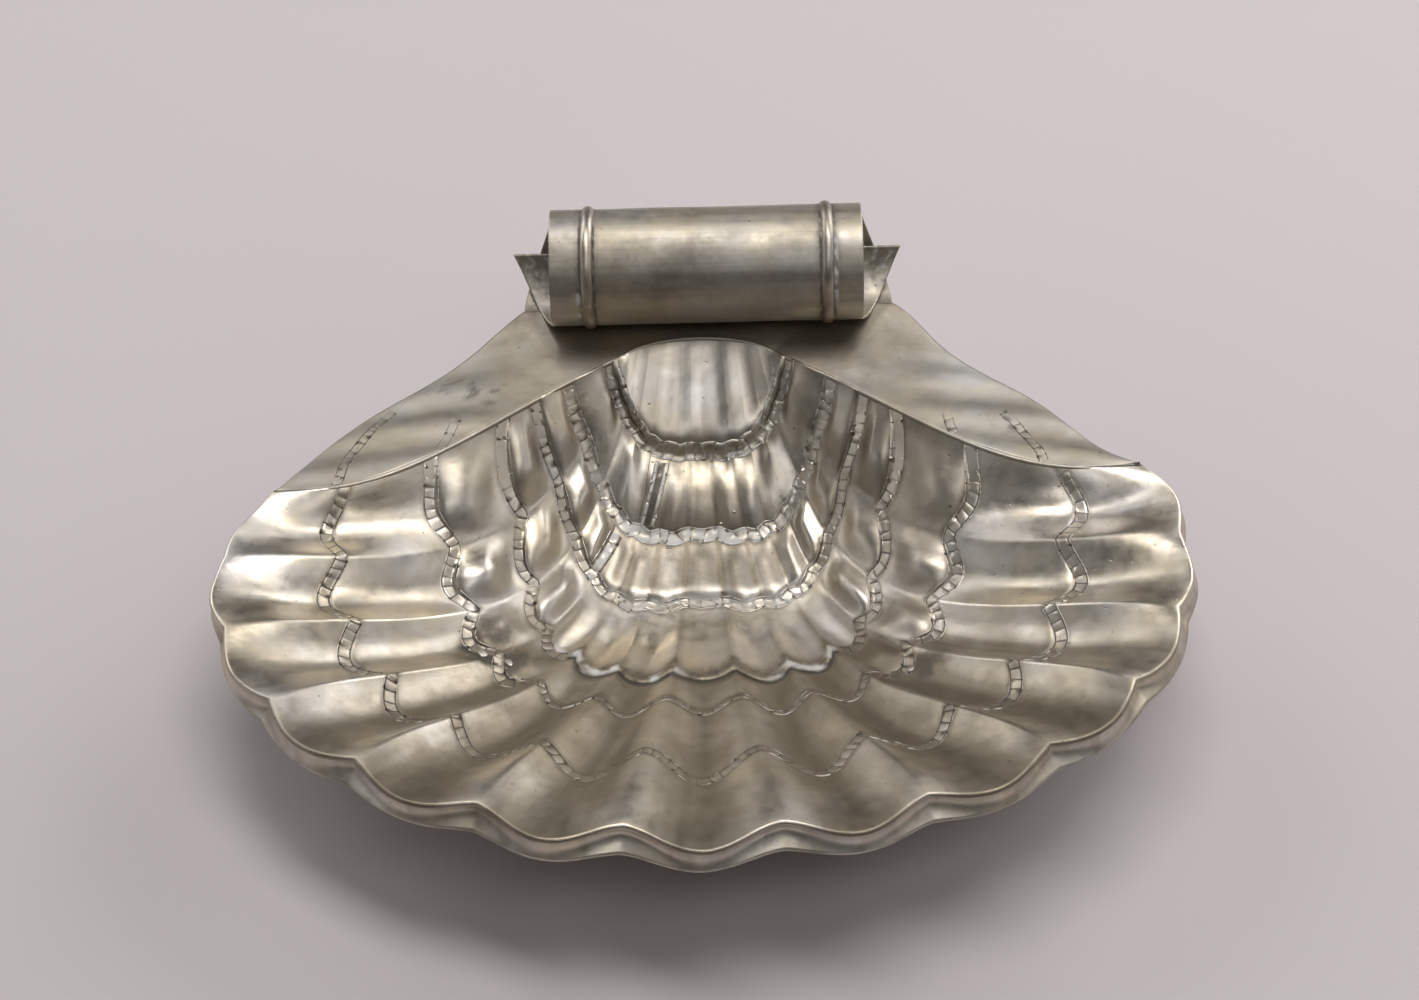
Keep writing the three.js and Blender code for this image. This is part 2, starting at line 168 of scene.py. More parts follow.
# Soft upright ridges on the umbo plate: place across, width and height
UMBO_STREAKS = [
    (-0.46, 0.18, 0.0006),
    (-0.05, 0.13, 0.0009),
    (0.30, 0.11, 0.0008),
    (0.62, 0.14, 0.0006),
]

# How much each lobe of each plate swells more or less than the others
LOBE_VARIATION = np.random.default_rng(5).uniform(0.65, 1.3, (len(PLATES), 2 * SIDE_LOBES + 1))
PAIRED_VARIATION = 1.1

# Dark spots round the solder near the fifth band: place across, along and strength
DARK_SPOTS = [(-0.562, 0.630, 1.2), (-0.497, 0.605, 0.8), (0.495, 0.655, 0.8), (-0.62, 0.59, 0.7)]

# Dark scratched marks on the collar: place around the crest, outward from it, and strength
COLLAR_MARKS = [(-0.597, 0.79, 0.5), (-0.546, 0.54, 0.55), (-0.509, 0.31, 0.5), (0.705, 0.425, 0.5)]

# Drops of solder left standing: place across and along, radius and height
SOLDER_DROPS = [
    (-0.562, 0.626, 0.0030, 0.0007),
    (-0.497, 0.609, 0.0026, 0.0006),
    (0.480, 0.643, 0.0022, 0.0006),
    (0.190, 0.215, 0.0011, 0.0007),
]
# Small drops strewn along a band: the band, from where to where across, and how many
STREWN_DROPS = [(0, -0.4, 0.6, 10), (1, -0.5, 0.3, 16), (2, -0.45, 0.45, 8)]

# Curves and surfaces


def mix(a, b, t):
    return a + (b - a) * t


def smooth(x, low, high):
    t = np.clip((x - low) / (high - low), 0, 1)
    return t * t * (3 - 2 * t)


def fade(x, low, high):
    return 1 - smooth(x, low, high)


def bell(x, middle, width):
    return np.exp(-(((x - middle) / width) ** 2))


def spot(x, y, middle, width):
    return np.exp(-(((x - middle[0]) / width[0]) ** 2 + ((y - middle[1]) / width[1]) ** 2))


def arch(place):
    """0 at both ends of a lobe and 1 in its middle."""
    return 4 * place * (1 - place)


def round_off(distance, width):
    """0 at an edge and 1 from width on, with a quarter circle between."""
    t = np.clip(distance / width, 0, 1)
    return np.sqrt(np.maximum(1 - (1 - t) ** 2, 0))


def stack(x, y, z):
    return np.stack(np.broadcast_arrays(x, y, z), axis=-1).astype(float)


def unit(v):
    return v / np.maximum(np.linalg.norm(v, axis=-1, keepdims=True), 1e-12)


def wobble(points, scale, seed):
    shift = Vector((seed * 7.3, seed * 3.1, seed * 5.7))
    return np.array([noise.noise(Vector(p) * scale + shift) for p in points])


def sheet_waver(points):
    return DENTS * wobble(points, 38, 1)


def umbo_line(across):
    angle = across * UMBO_ANGLE
    reach = np.sin(angle) / math.sin(UMBO_ANGLE)
    fall = (1 - np.cos(angle)) / (1 - math.cos(UMBO_ANGLE))
    return stack(UMBO_HALF_WIDTH * reach, UMBO_Y - UMBO_BOW * fall, UMBO_HEIGHT - UMBO_DROP * fall)


def rim_line(across):
    angle = RIM_HALF_ANGLE * across
    return stack(RIM_HALF_WIDTH * np.sin(angle), RIM_CENTRE_Y - RIM_REACH * np.cos(angle), RIM_HEIGHT)


def depth_profile(along):
    deepest = BACK_FULLNESS / (BACK_FULLNESS + FRONT_FULLNESS)
    peak = deepest**BACK_FULLNESS * (1 - deepest) ** FRONT_FULLNESS
    place = np.clip(along, 0, 1)
    return place**BACK_FULLNESS * (1 - place) ** FRONT_FULLNESS / peak


def base_point(across, along):
    """The plain bowl, from the left edge of the fan at -1 to the right one at 1 and from the
    umbo at 0 along to the rim at 1."""
    side = np.abs(across)
    share = np.asarray(along)[..., None]
    point = umbo_line(across) * (1 - share) + rim_line(across) * share
    sweep = 2 * side * (1 - side**3) * np.sin(np.pi * along)
    soft_side = np.sqrt(side**2 + MIDDLE_SOFTNESS**2) - MIDDLE_SOFTNESS * (1 - side)
    forward = 2 * soft_side * (1 - side**3) * np.sin(np.pi * along)
    bow = CREST_OGEE * np.sin(2 * np.pi * along) - CREST_HOLLOW * np.sin(np.pi * along)
    point[..., 0] -= np.sign(across) * SWEEP_INWARD * sweep
    point[..., 1] += side**4 * bow - SWEEP_FORWARD * forward
    point[..., 2] -= BOWL_DEPTH * (1 - side**SIDE_FULLNESS) * depth_profile(along)
    tip = smooth(-across, WING_TIP["start"], 1.0)
    shoulder = bell(across, WING_SHOULDER["middle"], WING_SHOULDER["width"])
    for moved, (out, back) in ((tip, WING_TIP["move"]), (shoulder, WING_SHOULDER["move"])):
        point[..., 0] += out * (moved * along**4)
        point[..., 1] += back * (moved * along**4)
    return point


def base_normal(across, along):
    step = 0.002
    left = base_point(np.maximum(across - step, -1), along)
    right = base_point(np.minimum(across + step, 1), along)
    back = base_point(across, np.maximum(along - step, 0))
    front = base_point(across, np.minimum(along + step, 1))
    normal = unit(np.cross(front - back, right - left))
    level = (np.clip(along, 0, 1) ** 6)[..., None]
    return unit(normal * (1 - level) + np.array([0, 0, 1.0]) * level)


def lobe_place(across):
    side = np.abs(across)
    outer = ((side - MIDDLE_LOBE) / LOBE_SHARE) % 1
    return np.where(side < MIDDLE_LOBE, (side + MIDDLE_LOBE) / (2 * MIDDLE_LOBE), outer)


def lobe_index(across):
    """The number of a lobe, from 0 at the left wing."""
    side = np.abs(across)
    count = np.where(side < MIDDLE_LOBE, 0, np.floor((side - MIDDLE_LOBE) / LOBE_SHARE) + 1)
    return (np.sign(across) * np.minimum(count, SIDE_LOBES)).astype(int) + SIDE_LOBES


def dome_place(plate, across):
    """Place across a dome of a plate, and how much that dome swells more or less than others:
    on the flanks of tier 2 one dome covers two lobes."""
    start = MIDDLE_LOBE + 2 * LOBE_SHARE
    paired = (plate == TIER_2) & (np.abs(across) > start)
    wide = ((np.abs(across) - start) / (2 * LOBE_SHARE)) % 1
    variation = np.where(paired, PAIRED_VARIATION, LOBE_VARIATION[plate][lobe_index(across)])
    return np.where(paired, wide, lobe_place(across)), variation


def lobe_swell(across):
    place = lobe_place(across)
    side = np.abs(across)
    sharp = mix(*RIB_SHARPNESS, smooth(side, 0.1, 0.5)) - RIB_SOFTENING * smooth(side, 0.6, 0.85)
    return mix(np.sin(np.pi * place) ** 2, arch(place), sharp)


def band_place(band, across):
    """Where a band lies along the ribs: 0, the umbo's line, before the first, and 1, the rim, after
    the last."""
    if band < 0:
        return np.zeros_like(across)
    if band >= len(BANDS):
        return np.ones_like(across)
    line = BANDS[band]
    swell = arch(lobe_place(across)) if band == 3 else lobe_swell(across)
    return mix(line["middle"], line["edge"], across**2) + line["wave"] * swell


def flute(along):
    past = np.clip((along - FLUTE_PEAK) / (1 - FLUTE_PEAK), 0, 1)
    return FLUTE_DEPTH * smooth(along, FLUTE_START, FLUTE_PEAK) * (1 - past**2)


def lip_share(across):
    return fade(np.abs(across), 0.36, 0.46)


def ground(across, along):
    """The bowl without its pillows: the level that the growth bands lie on."""
    swell = lobe_swell(across)
    outward = rim_line(across) - umbo_line(across)
    outward[..., 2] = 0
    reach = mix(REACH_FRONT, REACH_WING, np.abs(across))
    point = base_point(across, along) + unit(outward) * (reach * swell * along**8)[..., None]
    waver = sum(share * np.sin(count * across + shift) for share, count, shift in RIM_WAVES)
    point[..., 2] += RIM_WAVER * waver * along**8
    normal = base_normal(across, along)
    return point - normal * (swell * flute(along))[..., None], normal


def umbo_relief(across, share):
    relief = UMBO_BULGE * share**1.15 * round_off(1 - share, 0.30) * np.cos(np.pi / 2 * across) ** 0.5
    for middle, width, high in UMBO_STREAKS:
        relief = relief + high * bell(across, middle, width) * np.sin(np.pi * share**0.7)
    return relief


def plate_surface(plate, across, share):
    """A place of a plate at a share of the way from its inner band to its outer one: the level
    of the bowl, its normal, how high the plate stands, and how far it is to either strip."""
    shape = PLATES[plate]
    low, high = band_place(plate - 1, across), band_place(plate, across)
    along = mix(low, high, share)
    point, normal = ground(across, along)
    length = np.linalg.norm(base_point(across, high) - base_point(across, low), axis=-1)
    from_inner = share * length - (STRIP if plate > UMBO else 0)
    from_outer = (1 - share) * length - (STRIP if plate < RIM else 0)
    gone = np.clip(from_inner / (from_inner + from_outer), 0, 1)
    place, variation = dome_place(plate, across)
    wing = smooth(np.abs(across), 0.3, 0.6)
    height = mix(*shape["height"], wing) * variation * smooth(length, 0.004, 0.024)
    section = mix(np.sin(np.pi * place) ** 1.7, arch(place), shape["valley"])
    relief = height * section * smooth(gone, 0, shape["rise"]) * round_off(1 - gone, shape["drop"])
    sunk = fade(np.minimum(from_inner, from_outer), -0.0008, 0.0002)
    relief = relief - 0.0004 * sunk * fade(np.abs(across), 0.9, 0.97)
    if plate == UMBO:
        relief = relief + umbo_relief(across, share)
    if plate == TIER_2:
        relief = relief + TIER_2_SWELL * np.sin(np.pi * gone) * (1 - 0.6 * wing)
    if plate == TIER_3:
        swelling = gone**0.8 * round_off(1 - gone, 0.24)
        relief = relief + TIER_3_SWELL * swelling * (1 - 0.6 * wing)
    if plate == TIER_4:
        lip = lip_share(across) * LIP_HEIGHT * smooth(gone, 0.35, 0.9)
        relief = relief + lip * round_off(from_outer + STRIP, LIP_ROUND)
    still = 1 - share**12 if plate == RIM else 1.0
    relief = relief + sheet_waver(point) * still
    return point, normal, relief, from_inner, from_outer


def raised(across, along):
    """The level of the bowl, its normal and how high the plates stand on it."""
    plates = sum((band_place(band, across) <= along).astype(int) for band in range(len(BANDS)))
    points, normals = np.zeros((*across.shape, 3)), np.zeros((*across.shape, 3))
    reliefs = np.zeros(across.shape)
    for plate in range(len(PLATES)):
        here = plates == plate
        if here.any():
            low, high = band_place(plate - 1, across[here]), band_place(plate, across[here])
            share = np.clip((along[here] - low) / (high - low), 0, 1)
            points[here], normals[here], reliefs[here] = plate_surface(plate, across[here], share)[:3]
    return points, normals, reliefs


# Making pieces


def from_grid(name, columns, rows, place, finish, solid=None, node=None):
    """A sheet whose vertices go where place(i, j) says, with the masks that it gives."""
    mesh = bmesh.new()
    bmesh.ops.create_grid(mesh, x_segments=columns, y_segments=rows, size=0.5)
    flat = np.array([v.co for v in mesh.verts])
    i = np.rint((flat[:, 0] + 0.5) * columns).astype(int)
    j = np.rint((flat[:, 1] + 0.5) * rows).astype(int)
    points, masks = place(i, j)
    for vert, point in zip(mesh.verts, points):
        vert.co = point
    return finish_piece(name, mesh, masks, finish, solid, node)


def finish_piece(name, mesh, masks, finish, solid=None, node=None):
    """An object of a mesh. A finish is a material and its slot, solid is the thickness that the
    sheet gets on its lower side, and node is the solid that the piece stands for."""
    material, slot = finish
    for face in mesh.faces:
        face.smooth = True
    data = bpy.data.meshes.new(name)
    mesh.to_mesh(data)
    mesh.free()
    for mask, values in masks.items():
        attribute = data.attributes.new(mask, "FLOAT", "POINT")
        attribute.data.foreach_set("value", np.asarray(values, np.float32))
    data.materials.append(material)
    piece = bpy.data.objects.new(name, data)
    bpy.context.scene.collection.objects.link(piece)
    if solid:
        wall = piece.modifiers.new("wall", "SOLIDIFY")
        wall.thickness = solid
        wall.offset = -1
    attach(piece, "root")
    if node:
        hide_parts(node)
    return piece


# Materials

GOLDEN = (1.04, 0.975, 0.84)
LILAC = (0.99, 1.0, 1.04)
BLACK_PIT = (0.09, 0.08, 0.07, 1)
BLACK_LINE = (0.045, 0.040, 0.034, 1)
CHALK = (0.66, 0.65, 0.63, 1)
DARK = (0.25, 0.213, 0.162)  # full patina, and painted shade, on most pieces
RIB_STROKES = {"fan": 330.0, "reach": 6.0}  # how fine brush marks are across the ribs and along
BROAD_STREAKS = 0.22  # how much coarser the streaks of patina are than the brush marks


class Tree:
    """Short names for adding and linking shader nodes."""

    def __init__(self, tree):
        self.tree = tree

    def feed(self, socket, value):
        if isinstance(value, bpy.types.NodeSocket):
            self.tree.links.new(value, socket)
        else:
            socket.default_value = value

    def add(self, kind, inputs=None, **settings):
        made = self.tree.nodes.new(kind)
        for key, value in settings.items():
            setattr(made, key, value)
        for key, value in (inputs or {}).items():
            self.feed(made.inputs[key], value)
        return made

    def math(self, operation, a, b, clamp=False):
        return self.add("ShaderNodeMath", {0: a, 1: b}, operation=operation, use_clamp=clamp).outputs[0]

    def plus(self, a, b, clamp=False):
        return self.math("ADD", a, b, clamp)

    def minus(self, a, b, clamp=False):
        return self.math("SUBTRACT", a, b, clamp)

    def times(self, a, b, clamp=False):
        return self.math("MULTIPLY", a, b, clamp)

    def noise(self, vector, scale, detail, roughness):
        values = {"Vector": vector, "Scale": scale, "Detail": detail, "Roughness": roughness}
        return self.add("ShaderNodeTexNoise", values).outputs["Fac"]

    def ramp(self, value, low, high, to_low=0.0, to_high=1.0):
        values = {"Value": value, "From Min": low, "From Max": high, "To Min": to_low, "To Max": to_high}
        return self.add("ShaderNodeMapRange", values).outputs["Result"]

    def blend(self, factor, a, b):
        """A mix of two colours, whose sockets are the node's seventh and eighth."""
        return self.add("ShaderNodeMix", {0: factor, 6: a, 7: b}, data_type="RGBA").outputs[2]

    def stretched(self, vector, scale):
        return self.add("ShaderNodeMapping", {"Vector": vector, "Scale": scale}).outputs["Vector"]

    def mask(self, name):
        return self.add("ShaderNodeAttribute", attribute_name=name).outputs["Fac"]

    def rib_strokes(self):
        strokes = (self.times(self.mask(name), fine) for name, fine in RIB_STROKES.items())
        return self.add("ShaderNodeCombineXYZ", dict(enumerate(strokes))).outputs[0]


def new_group(name, inputs, outputs):
    group = bpy.data.node_groups.new(name, "ShaderNodeTree")
    for label, kind in inputs:
        group.interface.new_socket(label, in_out="INPUT", socket_type=kind)
    for label, kind in outputs:
        group.interface.new_socket(label, in_out="OUTPUT", socket_type=kind)
    tree = Tree(group)
    return group, tree, tree.add("NodeGroupInput").outputs, tree.add("NodeGroupOutput").inputs


def pewter_grain():
    """Cloudy tone, fine pits, smudges, dents and hair scratches of hand-worked pewter."""
    kinds = ("Cloud", "Mottle", "Cool", "Pits", "Smudge", "Scratch", "Height")
    group, t, given, out = new_group(
        "pewter_grain",
        [("Vector", "NodeSocketVector"), ("Brush", "NodeSocketVector")],
        [(kind, "NodeSocketFloat") for kind in kinds],
    )
    place = given["Vector"]
    cloud = t.noise(place, 34.0, 5.0, 0.6)
    mottle = t.noise(place, 125.0, 4.0, 0.65)
    cool = t.ramp(t.noise(t.stretched(place, (1.0, 1.3, 0.8)), 26.0, 4.0, 0.6), 0.36, 0.66)
    pits = t.ramp(t.noise(place, 400.0, 2.0, 0.5), 0.715, 0.78)
    smudge = t.ramp(t.noise(place, 75.0, 6.0, 0.72), 0.62, 0.80)
    brushed = t.noise(given["Brush"], 1.0, 4.0, 0.65)
    scratch = t.ramp(brushed, 0.58, 0.74)
    dents = t.noise(place, 80.0, 2.0, 0.4)
    height = t.plus(t.times(dents, 1.5), t.times(brushed, 0.22))
    height = t.plus(height, t.times(mottle, 0.5))
    height = t.minus(height, t.times(pits, 0.35))
    for label, value in zip(kinds, (cloud, mottle, cool, pits, smudge, scratch, height)):
        t.feed(out[label], value)
    return group


GRAIN = pewter_grain()


def pewter(name, slot, tone, rough, dark=DARK, brush=(300, 300, 300), bump=0.5, tarnish=0.5, masked=True):
    """A finish: pewter and its slot. The brush marks follow the ribs where brush is None, and
    patina and painted shade, black lines and white solder lie where a piece's own masks say
    unless masked is False."""
    material = bpy.data.materials.new(name)
    material.use_nodes = True
    t = Tree(material.node_tree)
    shader = material.node_tree.nodes["Principled BSDF"].inputs
    place = t.add("ShaderNodeTexCoord").outputs["Object"]
    strokes = t.stretched(place, brush) if brush else t.rib_strokes()
    grain = t.add("ShaderNodeGroup", {"Vector": place, "Brush": strokes}, node_tree=GRAIN).outputs
    broad = t.add("ShaderNodeVectorMath", {0: strokes, 3: BROAD_STREAKS}, operation="SCALE").outputs[0]
    patina = t.ramp(grain["Cloud"], 0.42, 0.75, 0.0, tarnish)
    patina = t.plus(patina, t.ramp(t.noise(broad, 1.0, 3.0, 0.5), 0.48, 0.72, 0.0, 0.8 * tarnish))
    patina = t.plus(patina, t.times(grain["Smudge"], tarnish * 0.9))
    if masked:
        rough_edge = t.ramp(t.noise(place, 260.0, 4.0, 0.7), 0.25, 0.75, -0.35, 0.35)
        uneven = t.plus(rough_edge, t.ramp(grain["Cloud"], 0.3, 0.7, 0.45, 1.25))
        # The masks hold patina and painted shade: darker hollows and valleys, painted shade round the neck
        # under the scroll, on the front of the scroll and beside its wires, and a film that also dims the
        # plates that catch most light.
        hollow = t.times(t.mask("hollow"), uneven, clamp=True)
        film_and_shade_noise = t.ramp(t.noise(place, 22.0, 3.0, 0.5), 0.3, 0.7, 0.80, 1.10)
        film = t.times(t.mask("film"), film_and_shade_noise)
        patina = t.plus(t.plus(patina, hollow), film, clamp=True)
    warm, cool = ([tone[k] * tint[k] for k in range(3)] + [1] for tint in (GOLDEN, LILAC))
    color = t.blend(grain["Cool"], warm, cool)
    color = t.blend(patina, color, (*dark, 1))
    color = t.blend(t.times(grain["Pits"], 0.7), color, BLACK_PIT)
    uneven_sheen = t.plus(t.times(grain["Cloud"], 0.5), t.times(grain["Mottle"], 0.5))
    roughness = t.ramp(uneven_sheen, 0.36, 0.64, *rough)
    roughness = t.plus(roughness, t.times(grain["Scratch"], 0.07))
    metallic = 1.0
    if masked:
        groove = t.mask("groove")
        chalk = t.times(t.mask("solder"), t.plus(rough_edge, 0.85), clamp=True)
        color = t.blend(t.times(groove, 0.93), color, BLACK_LINE)
        color = t.blend(chalk, color, CHALK)
        roughness = t.plus(roughness, t.times(t.plus(hollow, film), 0.12))
        roughness = t.plus(roughness, t.times(groove, 0.2))
        roughness = t.plus(roughness, t.times(chalk, 0.25), clamp=True)
        dull = t.plus(t.times(groove, 0.6), t.times(chalk, 0.75))
        metallic = t.minus(1.0, dull, clamp=True)
    t.feed(shader["Base Color"], color)
    t.feed(shader["Roughness"], roughness)
    t.feed(shader["Metallic"], metallic)
    relief = t.add("ShaderNodeBump", {"Height": grain["Height"], "Strength": bump, "Distance": 0.0004})
    t.feed(shader["Normal"], relief.outputs["Normal"])
    return material, slot


BOWL = pewter("bowl_pewter", "pewter_bowl", (0.73, 0.688, 0.625), (0.27, 0.43), brush=None, tarnish=0.35)
# The collar and the scroll are the same pewter sheet as the bowl; their lower tones are painted shade.
COLLAR = pewter(
    "collar_pewter", "pewter_collar", (0.47, 0.447, 0.412), (0.40, 0.54), brush=(60, 300, 300), tarnish=0.35
)
SCROLL = pewter(
    "scroll_pewter",
    "pewter_scroll",
    (0.555, 0.52, 0.462),
    (0.40, 0.56),
    dark=(0.25, 0.225, 0.19),
    brush=(25, 700, 700),
    tarnish=0.45,
)
SKIRT = pewter(
    "skirt_pewter", "pewter_skirt", (0.62, 0.585, 0.525), (0.36, 0.52), brush=(500, 500, 60), masked=False
)
RING = pewter("ring_pewter", "pewter_ring", (0.54, 0.505, 0.45), (0.30, 0.44))
FOOT = pewter("foot_pewter", "pewter_foot", (0.55, 0.53, 0.48), (0.38, 0.5), tarnish=0.6, masked=False)
SOLDER = pewter(
    "solder_white",
    "pewter_bowl",
    (0.70, 0.69, 0.67),
    (0.34, 0.55),
    dark=(0.22, 0.20, 0.17),
    bump=1.0,
    tarnish=0.9,
    masked=False,
)

# Bowl plates

LOBE_COLUMNS = 32
FAN_COLUMNS = (2 * SIDE_LOBES + 1) * LOBE_COLUMNS
RIB_LENGTH = 0.19  # about, from the umbo to the rim


def fan_place(i):
    """Place across the fan of a column, with the same number of columns in each lobe."""
    lobes = np.asarray(i) / LOBE_COLUMNS - SIDE_LOBES - 0.5
    side = np.abs(lobes)
    place = np.where(side < 0.5, side * 2 * MIDDLE_LOBE, MIDDLE_LOBE + (side - 0.5) * LOBE_SHARE)
    return np.clip(np.sign(lobes) * place, -1, 1)


def rib_measures(across, along, dense=PLATES[RIM]["brush"]):
    """The two masks that the brush marks follow."""
    return {"fan": dense * across, "reach": RIB_LENGTH * along}


def middle_of_fan(across):
    return fade(np.abs(across), 0.42, 0.82)


def plate_film_and_shade(plate, across, gone, place):
    """The smooth film on a plate: patina, and painted shade that dims the plates catching most light, tier 3
    and the outer ones.
    """
    film = PLATES[plate]["patina"] * middle_of_fan(across)
    if plate == TIER_3:
        film = film * fade(gone, 0.72, 0.9)
    if plate > TIER_4:
        film = film * mix(0.35, 1.0, np.sin(np.pi * place)) * (1 + 0.3 * smooth(across, 0.0, 0.3))
    if TIER_2 <= plate <= TIER_5:
        film = film + 0.45 * smooth(across, 0.70, 0.88)
    return film


def plate_masks(plate, across, along, gone, from_inner, from_outer, point):
    place = dome_place(plate, across)[0]
    lip = lip_share(across)
    near = np.minimum(from_inner if plate > UMBO else 1, from_outer if plate < RIM else 1)
    hollow = 0.45 * fade(near, 0.0, 0.0035)
    # Darker in the valleys between the lobes: patina and painted shade.
    hollow = hollow + fade(np.minimum(place, 1 - place), 0.0, 0.17) * PLATES[plate]["dark"]
    groove = 0.8 * fade(near, -0.0006, 0.0003) * fade(np.abs(across), 0.88, 0.93)
    solder = np.zeros_like(across)
    if TIER_4 <= plate <= TIER_6:
        ragged = 0.5 * wobble(point, 170, 6)
        for *middle, strength in DARK_SPOTS:
            hollow = hollow + strength * spot(across, along, middle, (0.05, 0.035))
            burnt = smooth(spot(across, along, middle, (0.055, 0.034)) + ragged, 0.35, 0.85)
            groove = np.maximum(groove, 0.75 * (strength * burnt))
    if plate == TIER_3:
        solder = 0.9 * fade(from_outer, 0.0004, 0.0022) * fade(np.abs(across), 0.4, 0.5)
        solder = solder * smooth(np.sin(np.pi * place), 0.1, 0.5)
    if plate == TIER_4:
        edge = from_outer + STRIP
        tinned = smooth(across, -0.50, -0.42) * fade(across, -0.12, -0.02)
        tinned = tinned + 0.8 * smooth(across, 0.12, 0.20) * fade(across, 0.36, 0.44)
        solder = tinned * smooth(wobble(point, 150, 4), -0.20, 0.10) * fade(edge, 0.0030, 0.0070)
        hollow = hollow + 0.9 * lip * fade(from_outer, 0.0, 0.014)
        specks = smooth(wobble(point, 260, 5), 0.0, 0.3) * fade(edge, 0.002, 0.010)
        groove = np.maximum(groove * (1 - lip), 0.7 * lip * specks * (1 - solder))
    return {
        "hollow": np.clip(hollow, 0, 1),
        "film": np.clip(plate_film_and_shade(plate, across, gone, place), 0, 1),
        "groove": groove,
        "solder": solder,
        **rib_measures(across, along, PLATES[plate]["brush"]),
    }


def bowl_plate(name, plate, columns, rows, node):
    """A plate between two bands, from a first column of the fan to a last one."""
    first, last = columns

    def place(i, j):
        across = fan_place(first + i)
        share = 1 - j / rows
        point, normal, relief, from_inner, from_outer = plate_surface(plate, across, share)
        along = mix(band_place(plate - 1, across), band_place(plate, across), share)
        masks = plate_masks(plate, across, along, share, from_inner, from_outer, point)
        return point + normal * relief[:, None], masks

    from_grid(name, last - first, rows, place, BOWL, SHEET, node)


def rim_edge(across):
    return ground(across, np.ones_like(across))[0]


def rim_outward(across):
    step = 0.012
    tangent = rim_edge(np.minimum(across + step, 1)) - rim_edge(np.maximum(across - step, -1))
    return unit(stack(tangent[:, 1], -tangent[:, 0], 0))


def rim_plate():
    """The outermost plate, whose edge rolls over to the border below it."""
    rows, turn = 62, 8

    def place(i, j):
        across = fan_place(i)
        step = (rows + turn) - j
        share = np.clip(step / rows, 0, 1) ** 0.9
        point, normal, relief, from_inner, from_outer = plate_surface(RIM, across, share)
        point = point + normal * (relief * (1 - share**12))[:, None]
        angle = np.clip((step - rows) / turn, 0, 1) * np.pi / 2
        point = point + rim_outward(across) * (RIM_ROLL * np.sin(angle))[:, None]
        point[:, 2] -= RIM_ROLL * (1 - np.cos(angle))
        along = mix(band_place(RIM - 1, across), 1.0, share)
        return point, plate_masks(RIM, across, along, share, from_inner, from_outer, point)

    from_grid("rim_plate_raised", FAN_COLUMNS, rows + turn, place, BOWL, SHEET, "rim_plate")


def rim_border():
    """The narrow border that is turned down under the rim."""
    rows = 10

    def place(i, j):
        across = fan_place(i)
        drop = 1 - j / rows
        point = rim_edge(across)
        flare = np.interp(across, *zip(*SKIRT_FLARE))
        flare = flare + SKIRT_FILL * (1 - lobe_swell(across)) * fade(np.abs(across), 0.5, 0.85)
        dent = 0.0006 * (1 + wobble(point, 50, 8)) * np.sin(np.pi * drop)
        point = point + rim_outward(across) * (RIM_ROLL + flare * drop**2 - dent)[:, None]
        ragged = SKIRT_RAGGED * wobble(point * [1, 1, 0], 42, 9)
        point[:, 2] -= RIM_ROLL + (SKIRT_HEIGHT - RIM_ROLL + ragged) * drop
        return point, {}

    from_grid("rim_border", FAN_COLUMNS, rows, place, SKIRT, SHEET, "rim_skirt")


WHOLE = (0, FAN_COLUMNS)
PIECED_2 = (SIDE_LOBES + 1 - 3) * LOBE_COLUMNS  # the third and fourth rib left of the middle
PIECED_3 = (SIDE_LOBES + 1 - 4) * LOBE_COLUMNS
bowl_plate("umbo_raised", UMBO, WHOLE, 26, "umbo_plate")
bowl_plate("tier_2_left_raised", TIER_2, (0, PIECED_2), 26, "tier_2_left")
bowl_plate("tier_2_right_raised", TIER_2, (PIECED_2, FAN_COLUMNS), 26, "tier_2_right")
bowl_plate("tier_3_left_raised", TIER_3, (0, PIECED_3), 26, "tier_3_left")
bowl_plate("tier_3_right_raised", TIER_3, (PIECED_3, FAN_COLUMNS), 26, "tier_3_right")
bowl_plate("tier_4_raised", TIER_4, WHOLE, 40, "tier_4")
bowl_plate("tier_5_raised", TIER_5, WHOLE, 40, "tier_5")
bowl_plate("tier_6_raised", TIER_6, WHOLE, 48, "tier_6")
rim_plate()
rim_border()

# Growth bands

CELL_STOPS = [0.0, 0.05, 0.12, 0.5, 0.88, 0.95]
CELL_LENGTH = (0.0040, 0.0066)  # the shortest and the longest cell
CELL_SLANT = 0.0011
CELL_TILT = 0.00009
LINE_DEPTH = 0.00014
STRIP_HALF_ROWS = [0.45, 0.82, 0.93, 1.0, 1.07, 1.18, 1.32]
STRIP_ROWS = np.array([-row for row in reversed(STRIP_HALF_ROWS)] + [0.0] + STRIP_HALF_ROWS)
STRIP_SKIRT = 1.25  # past this the strip dips under the plates
TURN_LENGTH = 0.007  # over what length a strip turns where its line has a corner


def band_width(band, across):
    wide = BANDS[band]["width"]
    if band == 4:
        return wide * mix(0.4, 1.0, smooth(np.abs(across), 0.3, 0.42))
    return np.full_like(across, wide)


def band_shown(band, across):
    """1 where the chasing is deep, less where it fades out near the crest."""
    end = BANDS[band]["end"]
    return fade(np.abs(across), end - 0.06, end)


def band_solder(band, across):
    """How white the lines between the cells are with solder, and how far it fills the cells."""
    if band == 0:
        middle = smooth(across, -0.55, -0.40) * fade(across, 0.55, 0.75)
        return 0.35 + 0.65 * middle, 0.35 * middle
    if band == 1:
        middle = smooth(across, -0.52, -0.42) * fade(across, 0.22, 0.38)
        return 0.35 + 0.5 * middle, middle
    if band == 2:
        middle = smooth(across, -0.50, -0.40) * fade(across, 0.45, 0.60)
        return 0.12 + 0.40 * middle, 0.08 * middle
    return np.full_like(across, 0.04), np.zeros_like(across)


